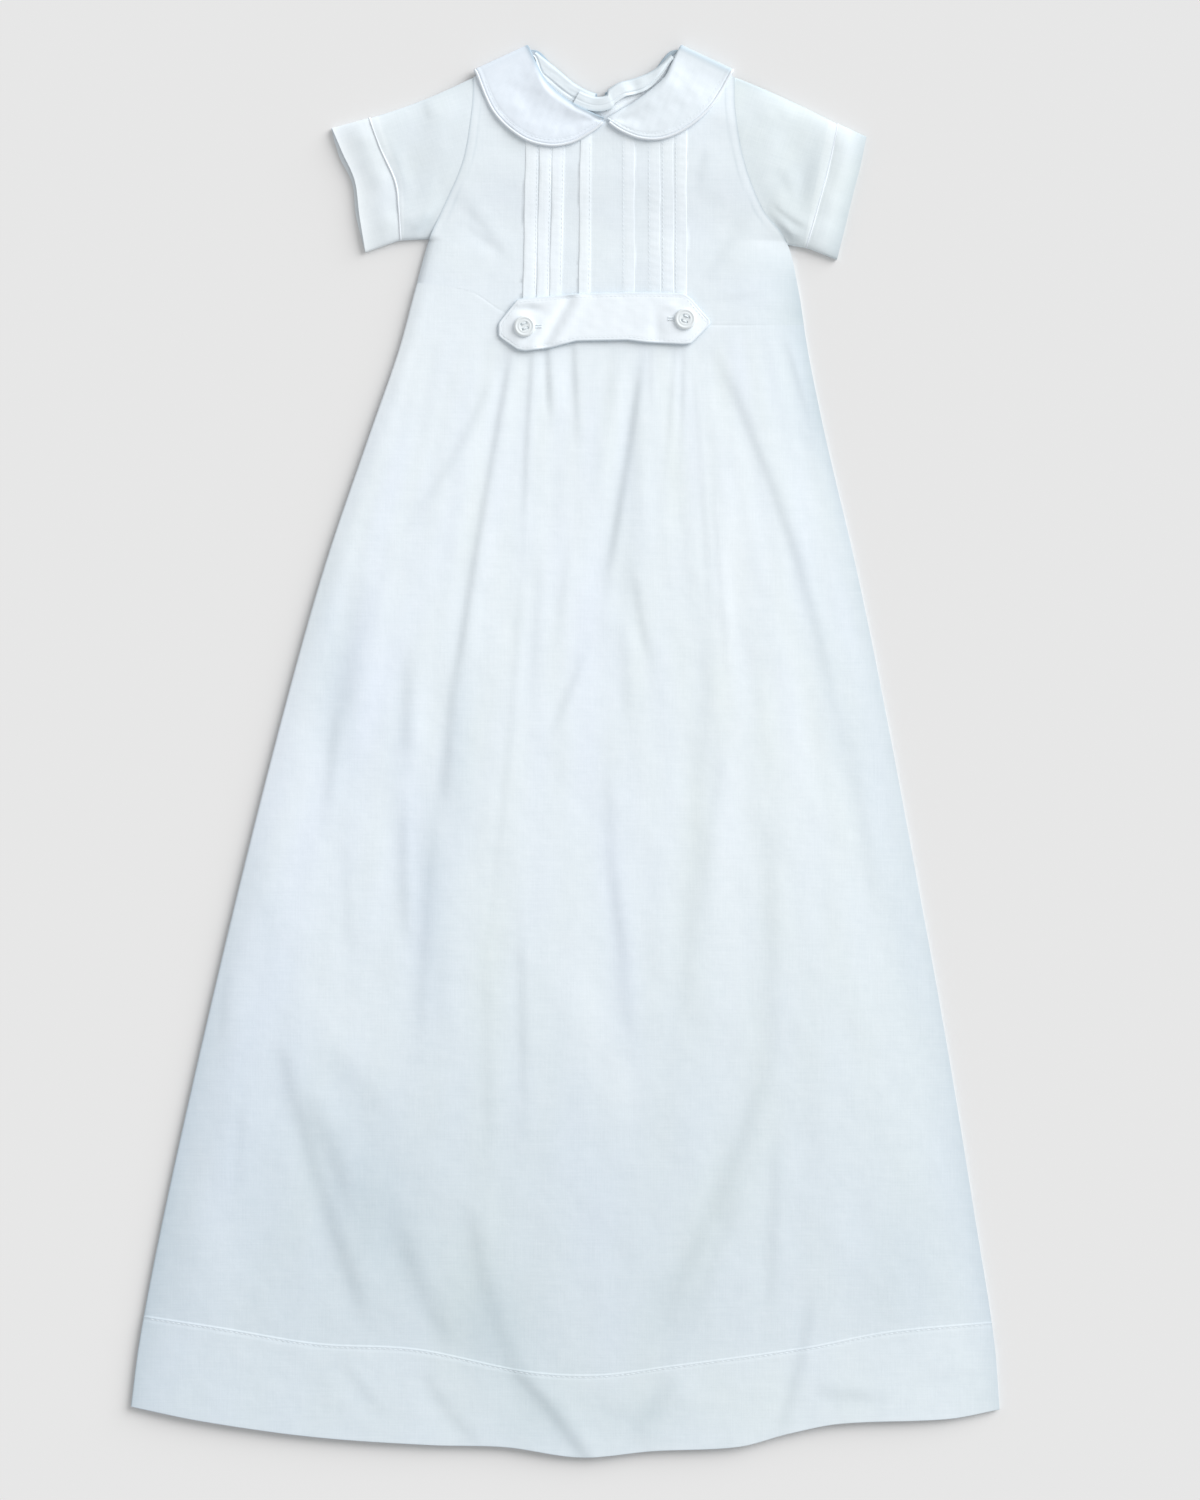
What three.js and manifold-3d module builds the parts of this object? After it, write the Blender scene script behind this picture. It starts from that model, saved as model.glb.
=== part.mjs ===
// A short-sleeved christening gown laid flat on its back, in millimetres.
// +X runs to the right of the laid gown, +Y towards the collar and +Z up from the surface under it.
// The origin lies on that surface, in the middle of the gown's length and width.
import * as THREE from "three";
import { mergeVertices } from "three/addons/utils/BufferGeometryUtils.js";
import Module from "manifold-3d";

// Cloth and trims
const wall = 1.2; // one layer of cloth, modelled thick enough to be a solid
const seam = 0.3; // gap between two pieces that are sewn together
const rest = 0.45; // gap under a piece that lies on another
const tuckRise = 1.0; // a stitched tuck stands this far above the panel
const hemRise = 0.45; // the turned-up hem is a second layer of cloth
const pipingRadius = 0.9;
const collarFlare = 0.7; // how far a collar's neck edge rolls up from the bodice
const cuffRise = 0.5; // the cuff stands this far above the sleeve
const middleX = 23.5; // the neck's and the tab's middle

// Body outline: x of the left and right edge at each height, from the shoulder to the hem.
const sideTable = [
  { y: 404, left: -54.8, right: 101.6 },
  { y: 384, left: -55.8, right: 102.0 },
  { y: 353, left: -61.2, right: 107.4 },
  { y: 324, left: -73.6, right: 118.8 },
  { y: 306, left: -81.6, right: 132.6 },
  { y: 276, left: -90.0, right: 140.0 },
  { y: 240, left: -99.8, right: 145.6 },
  { y: 187, left: -118.2, right: 156.4 },
  { y: 115, left: -142.8, right: 173.4 },
  { y: 42, left: -163.8, right: 188.6 },
  { y: -65, left: -191.4, right: 208.8 },
  { y: -173, left: -217.2, right: 228.4 },
  { y: -281, left: -241.2, right: 246.0 },
  { y: -353, left: -255.0, right: 257.2 },
  { y: -396, left: -260.6, right: 260.6 },
];
const underarmY = 306; // the side seams start here
const shoulderEnd = { leftX: -54.8, rightX: 101.6, y: 403.6 }; // where the shoulder folds meet the sleeves

// Lower edge, hem stitching and waist seam: y at each x.
const hemTable = [
  { x: -260.6, y: -393.0 },
  { x: -216, y: -402.0 },
  { x: -150, y: -411.2 },
  { x: -80, y: -416.0 },
  { x: -36, y: -417.2 },
  { x: 9, y: -423.4 },
  { x: 53, y: -419.6 },
  { x: 104, y: -417.0 },
  { x: 134, y: -409.2 },
  { x: 165, y: -403.2 },
  { x: 230, y: -400.4 },
  { x: 260.6, y: -394.8 },
];
const stitchTable = [
  { x: -251, y: -338.8 },
  { x: -206, y: -345.6 },
  { x: -149, y: -355.0 },
  { x: -89, y: -358.4 },
  { x: -23, y: -371.6 },
  { x: 20, y: -373.8 },
  { x: 64, y: -368.4 },
  { x: 143, y: -357.6 },
  { x: 194, y: -348.0 },
  { x: 253, y: -342.6 },
];
const waistTable = [
  { x: -92, y: 281.0 },
  { x: -57, y: 275.4 },
  { x: -36, y: 263.0 },
  { x: 0, y: 257.4 },
  { x: 88, y: 255.0 },
  { x: 146, y: 255.4 },
];

// Necklines of the front and the back, and the line where the back collar rolls over.
const neckPoints = { leftX: -21.4, rightX: 68.6, y: 419.7 };
const shoulderSlope = 0.482; // fall of the shoulder fold towards the sleeve
const shoulderSettle = 28; // width over which the front settles on the back towards that fold
const frontNeckTable = [
  { x: -21.4, y: 419.7 },
  { x: -12, y: 399.0 },
  { x: 0, y: 388.8 },
  { x: 12, y: 382.4 },
  { x: 24.5, y: 377.4 },
  { x: 38, y: 384.0 },
  { x: 50, y: 392.4 },
  { x: 60, y: 402.4 },
  { x: 68.6, y: 419.7 },
];
const backRollTable = [
  { x: -21, y: 422.4 },
  { x: -5, y: 409.4 },
  { x: 8, y: 399.0 },
  { x: 21, y: 394.4 },
  { x: 34, y: 400.6 },
  { x: 53, y: 408.4 },
  { x: 68, y: 422.4 },
];
const collarBed = { halfWidth: 80, rampX: 40, bottom: 353, rampY: 45 }; // where that leaf lies
const backNeckInset = 2.9; // the back bodice stops this far below the roll line
const bandDepth = { middle: 8.5, end: 3 }; // depth of the neck band inside the back of the neck

// Centre-back opening: the right half laps over the left one, seen from inside.
const lap = { from: 9.6, to: 22.0, level: 28, ramp: 14, coverFrom: 0.6, coverOver: 7, coverY: 245, coverRise: 8 };

const neckBands = {
  left: { from: -17, to: lap.from - 2 * seam, taper: 10 },
  right: { from: lap.from, to: 63, taper: 20 },
};

// Tucks: x of the folded edge and of the stitching at the neck and at the waist.
const tucks = [
  { foldTop: -22.4, stitchTop: -14.6, foldWaist: -25.4, stitchWaist: -17.6 },
  { foldTop: -14.3, stitchTop: -7.0, foldWaist: -17.3, stitchWaist: -9.8 },
  { foldTop: -6.7, stitchTop: 0.6, foldWaist: -9.5, stitchWaist: -2.2 },
  { foldTop: 9.4, stitchTop: 16.2, foldWaist: 8.0, stitchWaist: 15.2 },
  { foldTop: 41.4, stitchTop: 34.0, foldWaist: 41.6, stitchWaist: 34.2 },
  { foldTop: 56.6, stitchTop: 49.3, foldWaist: 57.2, stitchWaist: 49.8 },
  { foldTop: 64.6, stitchTop: 57.4, foldWaist: 65.2, stitchWaist: 58.0 },
  { foldTop: 72.4, stitchTop: 65.2, foldWaist: 73.0, stitchWaist: 65.8 },
];
const tuckProfile = [
  { in: -0.25, share: 0 },
  { in: 0, share: 1 },
  { in: 5.8, share: 0.8 },
  { in: 7, share: 0 },
]; // share of tuckRise at each distance in from the folded edge
const tuckStart = { below: 8, over: 14 }; // the tucks swell up under the shoulder fold over this far
const tuckSpan = { left: -36, right: 86, ramp: 8 }; // the collar lies higher over the tucks

// Folds of the skirt and bodice front. Each is a soft step along a bowed line from (x1, y1) to (x2, y2):
// the cloth rises by rise within width, towards the side that is on the left as one looks along the
// line, and levels out again over low and high on its two sides. fadeIn and fadeOut are the shares
// of the line in which the step swells and dies.
const folds = [
  { name: "pleat one", x1: -30, y1: 250, x2: -66.5, y2: 42, bow: -2.2, rise: 1.2, width: 5, low: 9, high: 12, fadeIn: 0.05, fadeOut: 0.12 },
  { name: "pleat one wide", x1: -68, y1: 62, x2: -68, y2: -24, bow: -2.5, rise: 1.8, width: 8, low: 12, high: 10, fadeIn: 0.3, fadeOut: 0.4 },
  { name: "pleat one end", x1: -67, y1: 10, x2: -82, y2: -54, bow: 0.5, rise: 1.0, width: 10, low: 10, high: 12, fadeIn: 0.3, fadeOut: 0.5 },
  { name: "long line", x1: -80, y1: -28, x2: -80, y2: -168, bow: -6, rise: 1.5, width: 8, low: 10, high: 14, fadeIn: 0.25, fadeOut: 0.4 },
  { name: "beside it", x1: -97, y1: -26, x2: -93, y2: -124, bow: -1, rise: 1.5, width: 8, low: 12, high: 6, fadeIn: 0.25, fadeOut: 0.35 },
  { name: "lower trail", x1: -72, y1: -108, x2: -72, y2: -176, bow: -1, rise: 0.8, width: 12, low: 10, high: 10, fadeIn: 0.4, fadeOut: 0.5 },
  { name: "pleat two", x1: -18.5, y1: 250, x2: -28, y2: 148, bow: 1.6, rise: 1.2, width: 5, low: 8, high: 9, fadeIn: 0.1, fadeOut: 0.45 },
  { name: "slender left", x1: -25, y1: 126, x2: -48, y2: -135, bow: 3.5, rise: 0.6, width: 6, low: 7, high: 9, fadeIn: 0.2, fadeOut: 0.3 },
  { name: "slender left low", x1: -47, y1: -96, x2: -45, y2: -258, bow: 1, rise: 0.7, width: 8, low: 8, high: 8, fadeIn: 0.3, fadeOut: 0.4 },
  { name: "slender right", x1: -27, y1: -90, x2: -25, y2: -252, bow: 0.5, rise: 0.8, width: 7, low: 8, high: 10, fadeIn: 0.3, fadeOut: 0.4 },
  { name: "pleat three", x1: -10, y1: 250, x2: -4, y2: 176, bow: -1.4, rise: 1.1, width: 4, low: 5, high: 7, fadeIn: 0.1, fadeOut: 0.6 },
  { name: "pleat four", x1: 5.5, y1: 250, x2: 9, y2: 176, bow: -0.8, rise: 1.2, width: 4, low: 8, high: 12, fadeIn: 0.1, fadeOut: 0.6 },
  { name: "beside four", x1: 31, y1: 244, x2: 16, y2: 138, bow: 0.5, rise: 0.7, width: 9, low: 8, high: 8, fadeIn: 0.2, fadeOut: 0.5 },
  { name: "pleat five", x1: 52, y1: 248, x2: 51, y2: 196, bow: 0, rise: 0.6, width: 4, low: 6, high: 6, fadeIn: 0.1, fadeOut: 0.6 },
  { name: "pleat six", x1: 66, y1: 248, x2: 60.5, y2: 168, bow: 0.8, rise: 0.7, width: 4, low: 5, high: 5, fadeIn: 0.1, fadeOut: 0.6 },
  { name: "pleat eight", x1: 75, y1: 248, x2: 90, y2: 68, bow: 1.4, rise: 0.8, width: 5, low: 8, high: 6, fadeIn: 0.1, fadeOut: 0.4 },
  { name: "middle fold", x1: 48, y1: 246, x2: 22.5, y2: 90, bow: 1.6, rise: 1.8, width: 6, low: 10, high: 16, fadeIn: 0.1, fadeOut: 0.22 },
  { name: "right of middle", x1: 43, y1: 214, x2: 33, y2: 52, bow: 1.5, rise: 1.1, width: 14, low: 8, high: 16, fadeIn: 0.3, fadeOut: 0.4 },
  { name: "fork", x1: 14, y1: 64, x2: -7, y2: 14, bow: 0.6, rise: 1.0, width: 7, low: 8, high: 8, fadeIn: 0.35, fadeOut: 0.4 },
  { name: "centre left", x1: -6, y1: 138, x2: -10, y2: 44, bow: -1, rise: 1.1, width: 12, low: 8, high: 8, fadeIn: 0.3, fadeOut: 0.3 },
  { name: "tip side", x1: 29, y1: 86, x2: 37, y2: 12, bow: 1, rise: 1.0, width: 8, low: 16, high: 8, fadeIn: 0.3, fadeOut: 0.3 },
  { name: "short dark", x1: 40.5, y1: 114, x2: 54, y2: 47, bow: -2.6, rise: 1.5, width: 7, low: 8, high: 9, fadeIn: 0.35, fadeOut: 0.3 },
  { name: "long shade", x1: 85, y1: 118, x2: 70, y2: -206, bow: 4, rise: 1.3, width: 13, low: 12, high: 16, fadeIn: 0.2, fadeOut: 0.3 },
  { name: "centre line", x1: 24, y1: 10, x2: 44, y2: -208, bow: -4.5, rise: 1.4, width: 9, low: 16, high: 9, fadeIn: 0.3, fadeOut: 0.25 },
  { name: "right soft", x1: 122, y1: -12, x2: 123, y2: -206, bow: 2, rise: 1.2, width: 11, low: 14, high: 14, fadeIn: 0.3, fadeOut: 0.2 },
  { name: "right fold", x1: 84, y1: 252, x2: 187, y2: -50, bow: 11, rise: 1.4, width: 7, low: 14, high: 14, fadeIn: 0.1, fadeOut: 0.3 },
  { name: "under right fold", x1: 165, y1: 22, x2: 186, y2: -128, bow: -1, rise: 1.2, width: 16, low: 14, high: 10, fadeIn: 0.3, fadeOut: 0.4 },
  { name: "left crease", x1: -38, y1: 236, x2: -104, y2: 124, bow: -4, rise: 0.9, width: 7, low: 12, high: 10, fadeIn: 0.3, fadeOut: 0.5 },
  { name: "left patch", x1: -130, y1: 122, x2: -134, y2: -14, bow: 1, rise: 1.9, width: 16, low: 12, high: 16, fadeIn: 0.3, fadeOut: 0.4 },
  { name: "left patch line", x1: -142, y1: 44, x2: -147, y2: -64, bow: 0, rise: 1.1, width: 8, low: 12, high: 8, fadeIn: 0.4, fadeOut: 0.4 },
  { name: "short hollow", x1: -92, y1: 76, x2: -93, y2: -12, bow: -2, rise: 1.3, width: 9, low: 10, high: 8, fadeIn: 0.4, fadeOut: 0.3 },
  { name: "lower right", x1: 124, y1: -176, x2: 51, y2: -364, bow: 6, rise: 2.1, width: 12, low: 16, high: 22, fadeIn: 0.25, fadeOut: 0.2 },
  { name: "right line", x1: 126, y1: -212, x2: 122, y2: -352, bow: 1, rise: 0.8, width: 9, low: 9, high: 10, fadeIn: 0.3, fadeOut: 0.3 },
  { name: "lower left", x1: -171, y1: -170, x2: -102, y2: -358, bow: -6, rise: 2.4, width: 14, low: 18, high: 26, fadeIn: 0.22, fadeOut: 0.2 },
  { name: "soft scarp", x1: -144, y1: -170, x2: -90, y2: -230, bow: -2, rise: 1.3, width: 14, low: 26, high: 26, fadeIn: 0.3, fadeOut: 0.5 },
  { name: "lower second", x1: -104, y1: -258, x2: -60, y2: -364, bow: -9, rise: 1.6, width: 15, low: 18, high: 16, fadeIn: 0.3, fadeOut: 0.25 },
  { name: "lower third", x1: -57, y1: -248, x2: -23, y2: -376, bow: -8, rise: 1.6, width: 11, low: 18, high: 12, fadeIn: 0.3, fadeOut: 0.15 },
  { name: "hem fold", x1: -41, y1: -361, x2: 15, y2: -428, bow: 2.5, rise: 1.8, width: 9, low: 16, high: 12, fadeIn: 0.25, fadeOut: 0.02 },
  { name: "hem crease one", x1: -138, y1: -357, x2: -97, y2: -407, bow: -3, rise: 0.8, width: 9, low: 9, high: 12, fadeIn: 0.4, fadeOut: 0.5 },
  { name: "hem crease two", x1: -89, y1: -365, x2: -48, y2: -419, bow: -3, rise: 1.0, width: 9, low: 10, high: 14, fadeIn: 0.3, fadeOut: 0.2 },
  { name: "hem notch", x1: 148.5, y1: -321, x2: 125, y2: -416, bow: 3.5, rise: 1.4, width: 9, low: 9, high: 12, fadeIn: 0.25, fadeOut: 0.2 },
  { name: "hem shelf", x1: 146, y1: -383, x2: 196, y2: -386, bow: -2, rise: 1.0, width: 9, low: 9, high: 14, fadeIn: 0.3, fadeOut: 0.4 },
  { name: "hem swell", x1: 67, y1: -365, x2: 35, y2: -415, bow: 4, rise: 1.0, width: 10, low: 12, high: 20, fadeIn: 0.3, fadeOut: 0.3 },
  { name: "bodice left", x1: -69, y1: 338, x2: -30, y2: 290, bow: 1, rise: 0.9, width: 7, low: 8, high: 8, fadeIn: 0.4, fadeOut: 0.4 },
  { name: "bodice right", x1: 118, y1: 328, x2: 82, y2: 284, bow: 1, rise: 1.0, width: 8, low: 8, high: 9, fadeIn: 0.4, fadeOut: 0.4 },
];
// How far the front stands off the back without its folds: it changes over these heights.
const dome = { skirt: 2.5, bodice: 2.2, hem: 1.4, bodiceY: 200, bodiceOver: 80, hemY: -280, hemOver: 120 };
const mostGap = { tab: 3.1, skirt: 6.2, tabY: 196, tabOver: 40 }; // the front is never further than this from the back
const foldRound = 9; // the folds flatten out over this width towards a side seam
const sleeveRun = 2.2; // above the underarm the panel runs on into the sleeve, so its rounding fades

// Width over which the panel rounds down to each side seam.
const roundTable = [
  { y: 404, left: 8, right: 22 },
  { y: 240, left: 10, right: 40 },
  { y: 115, left: 14, right: 60 },
  { y: -65, left: 20, right: 80 },
  { y: -280, left: 34, right: 90 },
  { y: -423, left: 36, right: 90 },
];

// Sleeves, from the armhole to the cuff seam, and cuffs, from that seam to the open edge.
const sleeves = {
  left: {
    away: -1,
    topY: 403.8,
    underarmY: 307,
    topSag: 1.6,
    cuffSeam: [
      [-117.4, 379.6],
      [-110.4, 360.6],
      [-101.8, 341.2],
      [-99.6, 325.0],
      [-98.6, 306.2],
    ],
    frontEdge: [
      [-139.8, 373.6],
      [-133.4, 358.6],
      [-126.0, 341.8],
      [-123.2, 321.0],
      [-119.6, 299.0],
    ],
    backEdge: [
      [-140.2, 373.4],
      [-135.4, 356.4],
      [-127.6, 340.4],
      [-125.4, 321.0],
      [-119.8, 299.2],
    ],
  },
  right: {
    away: 1,
    topY: 403.8,
    underarmY: 303.6,
    topSag: -1.2,
    cuffSeam: [
      [163.6, 376.0],
      [160.0, 358.6],
      [155.6, 340.4],
      [150.2, 321.0],
      [144.6, 301.6],
    ],
    frontEdge: [
      [180.6, 368.4],
      [177.2, 351.0],
      [172.8, 334.0],
      [168.2, 315.0],
      [163.0, 294.6],
    ],
    backEdge: [
      [180.8, 368.2],
      [177.0, 350.6],
      [172.6, 333.6],
      [168.0, 314.6],
      [163.2, 294.8],
    ],
  },
};
const sleeveDome = 3.2; // gap between a sleeve's two layers at its middle
const mostSleeveGap = 3.6;
const sleeveWave = { dip: 0.9, at: 0.78, over: 0.12, ripple: 0.35, acrossPace: 9, alongPace: 4 };
const cuffWave = { ripple: 0.3, acrossPace: 7, alongPace: -3 };
const tubeRound = 0.13; // share of a sleeve's width over which it rounds down to its fold

// Collar halves. The front leaf runs from the centre front to the shoulder fold, and the back
// leaf on to the centre back, under the bodice. neck and edge are its inner and outer outlines.
const collars = {
  left: {
    frontNeck: [
      [23.6, 378.9],
      [16.0, 382.3],
      [5.6, 387.6],
      [-3.6, 394.2],
      [-11.6, 402.2],
      [-16.6, 411.2],
      [-20.9, 420.5],
    ],
    frontEdge: [
      [22.6, 377.2],
      [15.6, 371.6],
      [3.0, 364.8],
      [-11.0, 363.4],
      [-26.4, 368.6],
      [-42.0, 383.2],
      [-52.0, 406.1],
    ],
    backEdge: [
      [-52.0, 406.1],
      [-48.0, 386.0],
      [-36.0, 369.0],
      [-18.0, 359.0],
      [2.0, 355.6],
      [15.0, 360.0],
      [19.4, 371.0],
    ],
    backNeckEnd: 19.2,
    outward: [-0.471, 0.882],
  },
  right: {
    frontNeck: [
      [25.4, 378.9],
      [32.6, 383.6],
      [42.0, 389.4],
      [51.4, 396.2],
      [59.4, 403.6],
      [63.6, 411.6],
      [68.1, 420.5],
    ],
    frontEdge: [
      [26.4, 377.2],
      [34.8, 371.6],
      [46.6, 367.4],
      [59.6, 367.8],
      [74.0, 374.8],
      [87.6, 387.6],
      [98.6, 406.1],
    ],
    backEdge: [
      [98.6, 406.1],
      [93.0, 386.0],
      [81.0, 369.0],
      [63.0, 359.0],
      [43.0, 355.6],
      [28.6, 360.0],
      [23.4, 371.0],
    ],
    backNeckEnd: 24.0,
    outward: [0.471, 0.882],
  },
};
const collarShare = { front: 0.5, turn: 0.62 }; // where along a collar its shoulder fold starts and ends
const collarSteps = { front: 13, turn: 6, back: 10 };
const collarTop = 6.45; // height of the front leaf's top at the shoulder fold

// The tab across the waist, and its two buttons.
const tabTable = [
  { x: -40.2, top: 254.8, bottom: 249.0 },
  { x: -38.2, top: 258.4, bottom: 246.8 },
  { x: -28.6, top: 270.4, bottom: 240.2 },
  { x: -24.0, top: 271.2, bottom: 239.2 },
  { x: -8.4, top: 272.4, bottom: 241.2 },
  { x: 6.6, top: 273.8, bottom: 245.2 },
  { x: 37.6, top: 274.6, bottom: 245.8 },
  { x: 48.5, top: 274.6, bottom: 244.4 },
  { x: 71.0, top: 274.0, bottom: 243.2 },
  { x: 75.4, top: 271.0, bottom: 243.6 },
  { x: 85.2, top: 259.8, bottom: 253.4 },
  { x: 87.0, top: 258.2, bottom: 255.4 },
];
const tabDroop = { depth: 1.0, from: 50, over: 14 }; // the tab's pointed ends come down this far
const buttons = {
  button_left: { x: -24.2, y: 254.2 },
  button_right: { x: 72.0, y: 258.6 },
};
const button = { radius: 6.4, height: 2.3, dish: 0.7, rim: 1.5, holeRadius: 0.85, holeSpread: 1.55 };
const buttonEdge = { foot: 0.8, footRise: 0.9, top: 0.5, topDrop: 0.6, dishSlope: 0.7 };

const white = { cloth: 0xeef4f9, trim: 0xf6fafd, button: 0xf2f5f3 };

// Small helpers
const mix = (a, b, t) => a + (b - a) * t;
const clamp = (t) => Math.min(1, Math.max(0, t));
const ease = (t) => clamp(t) * clamp(t) * (3 - 2 * clamp(t));
const count = (n) => [...Array(n).keys()];

// A smooth value from a table whose rows are sorted on one column.
function lookup(table, from, key, at) {
  const up = table[0][from] < table[table.length - 1][from] ? 1 : -1;
  let i = 0;
  while (i < table.length - 2 && (table[i + 1][from] - at) * up < 0) i += 1;
  const slope = (k) => {
    const a = table[Math.max(0, k - 1)];
    const b = table[Math.min(table.length - 1, k + 1)];
    return (b[key] - a[key]) / (b[from] - a[from]);
  };
  const span = table[i + 1][from] - table[i][from];
  const t = clamp((at - table[i][from]) / span);
  const s = t * t * (3 - 2 * t);
  const bend = t * (1 - t) * span * ((1 - t) * slope(i) - t * slope(i + 1));
  return mix(table[i][key], table[i + 1][key], s) + bend;
}

// A value from a table with straight stretches between its rows.
function straight(table, key, x) {
  let i = 0;
  while (i < table.length - 2 && table[i + 1].x < x) i += 1;
  return mix(table[i][key], table[i + 1][key], clamp((x - table[i].x) / (table[i + 1].x - table[i].x)));
}

const spline = (points) => new THREE.SplineCurve(points.map((p) => new THREE.Vector2(...p)));
const leftEdge = (y) => lookup(sideTable, "y", "left", y);
const rightEdge = (y) => lookup(sideTable, "y", "right", y);
const hemY = (x) => lookup(hemTable, "x", "y", x);
const stitchY = (x) => lookup(stitchTable, "x", "y", x);
const waistY = (x) => lookup(waistTable, "x", "y", x);
const rollY = (x) => lookup(backRollTable, "x", "y", x);

// Height of the back's underside: 0, but for the collar's back leaves that lie under the bodice.
function floorLift(x, y) {
  const across = 1 - ease((Math.abs(x - middleX) - collarBed.halfWidth) / collarBed.rampX);
  return (2 * pipingRadius + seam) * across * (1 - ease((collarBed.bottom - y) / collarBed.rampY));
}

// The centre-back lap raises the right half over the left one.
const lapLift = (x) => (wall + seam) * (1 - ease((x - lap.level) / lap.ramp));
const lapCover = (x, y) =>
  lapLift(x) * ease((x - lap.coverFrom) / lap.coverOver) * ease((y - lap.coverY) / lap.coverRise);

// Distance of a point below the shoulder folds.
function underShoulder(x, y) {
  const { leftX, rightX, y: top } = neckPoints;
  const out = x < middleX ? leftX - x : x - rightX;
  return (top - shoulderSlope * out - y) / Math.hypot(1, shoulderSlope);
}

// One fold's height at a point: a soft step across its bowed line, which levels out on both sides.
function foldHeight(fold, x, y) {
  const length = Math.hypot(fold.x2 - fold.x1, fold.y2 - fold.y1);
  const alongX = (fold.x2 - fold.x1) / length;
  const alongY = (fold.y2 - fold.y1) / length;
  const t = ((x - fold.x1) * alongX + (y - fold.y1) * alongY) / length;
  if (t <= 0 || t >= 1) return 0;
  const across = (y - fold.y1) * alongX - (x - fold.x1) * alongY - 4 * fold.bow * t * (1 - t);
  const side = across < 0 ? fold.low : fold.high;
  const ends = ease(t / fold.fadeIn) * ease((1 - t) / fold.fadeOut);
  return ends * (fold.rise / 2) * Math.tanh((2 * across) / fold.width) * Math.exp(-((across / side) ** 2));
}

// Keeps a value between 0 and a limit by bending it over towards both.
const softLimit = (value, most) => (most / 2) * (1 + Math.tanh((2 * value) / most - 1));

// How far a point has risen from the side seams, from 0 on them to 1.
function sideRise(x, y, away) {
  const rise = (distance, side) => 1 - (1 - clamp((distance + away) / lookup(roundTable, "y", side, y))) ** 2;
  return rise(x - leftEdge(y), "left") * rise(rightEdge(y) - x, "right");
}

// Gap between the back's top and the front's underside.
function frontGap(x, y) {
  const away = Math.max(0, y - underarmY) * sleeveRun;
  const upper = mix(dome.skirt, dome.bodice, ease((y - dome.bodiceY) / dome.bodiceOver));
  const stand = mix(upper, dome.hem, ease((dome.hemY - y) / dome.hemOver)) * sideRise(x, y, away);
  const inwards = clamp((Math.min(x - leftEdge(y), rightEdge(y) - x) + away) / foldRound);
  const raised = folds.reduce((sum, fold) => sum + foldHeight(fold, x, y), 0) * Math.sqrt(1 - (1 - inwards) ** 2);
  const most = mix(mostGap.skirt, mostGap.tab, ease((y - mostGap.tabY) / mostGap.tabOver));
  const gap = softLimit(stand + raised, most) * ease(underShoulder(x, y) / shoulderSettle);
  return Math.max(gap, lapCover(x, y));
}
const frontUnder = (x, y) => floorLift(x, y) + wall + seam + frontGap(x, y);
const frontTop = (x, y) => frontUnder(x, y) + wall;

// A closed wall between an outer and an inner grid of points; ring joins the first and last column.
function wallGeometry(columns, rows, outer, inner, ring = false) {
  const at = (side, i, j) => (side * columns + (ring ? i % columns : i)) * rows + j;
  const points = [outer, inner].flatMap((f) =>
    count(columns).flatMap((i) => count(rows).map((j) => f(i, j))),
  );
  const faces = [];
  const quad = (a, b, c, d) => faces.push(a, b, c, a, c, d);
  const spans = ring ? columns : columns - 1;
  for (const i of count(spans)) {
    for (const j of count(rows - 1)) {
      quad(at(0, i, j), at(0, i + 1, j), at(0, i + 1, j + 1), at(0, i, j + 1));
      quad(at(1, i, j), at(1, i, j + 1), at(1, i + 1, j + 1), at(1, i + 1, j));
    }
    quad(at(0, i + 1, 0), at(0, i, 0), at(1, i, 0), at(1, i + 1, 0));
    quad(at(0, i, rows - 1), at(0, i + 1, rows - 1), at(1, i + 1, rows - 1), at(1, i, rows - 1));
  }
  if (!ring) {
    for (const j of count(rows - 1)) {
      quad(at(0, 0, j), at(0, 0, j + 1), at(1, 0, j + 1), at(1, 0, j));
      const k = columns - 1;
      quad(at(0, k, j + 1), at(0, k, j), at(1, k, j), at(1, k, j + 1));
    }
  }
  return facingOut(points, faces);
}

// The geometry of those triangles, turned round if they enclose a negative volume.
function facingOut(points, faces) {
  const corner = (i) => new THREE.Vector3(...points[i]);
  let volume = 0;
  for (let i = 0; i < faces.length; i += 3) {
    volume += corner(faces[i]).dot(corner(faces[i + 1]).cross(corner(faces[i + 2])));
  }
  const indices = volume < 0 ? faces.reverse() : faces;
  return new THREE.BufferGeometry()
    .setAttribute("position", new THREE.Float32BufferAttribute(points.flat(), 3))
    .setIndex(indices);
}

// A round cord: its centre line as points, each with the direction that its section starts from.
function pipingGeometry(path, radius, sides = 6) {
  const points = path.flatMap(({ centre, up }, i) => {
    const before = new THREE.Vector3(...path[Math.max(0, i - 1)].centre);
    const after = new THREE.Vector3(...path[Math.min(path.length - 1, i + 1)].centre);
    const along = after.sub(before).normalize();
    const start = new THREE.Vector3(...up).addScaledVector(along, -along.dot(new THREE.Vector3(...up))).normalize();
    const aside = along.clone().cross(start);
    return count(sides).map((k) => {
      const turn = ((k + 0.5) * 2 * Math.PI) / sides;
      const point = new THREE.Vector3(...centre).addScaledVector(start, radius * Math.cos(turn));
      return point.addScaledVector(aside, radius * Math.sin(turn)).toArray();
    });
  });
  const faces = [];
  const last = (path.length - 1) * sides;
  for (const k of count(sides)) {
    const next = (k + 1) % sides;
    for (let ring = 0; ring < last; ring += sides) {
      faces.push(ring + k, ring + next, ring + sides + next, ring + k, ring + sides + next, ring + sides + k);
    }
    if (k > 0 && next > 0) faces.push(0, next, k, last, last + k, last + next);
  }
  return facingOut(points, faces);
}

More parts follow.
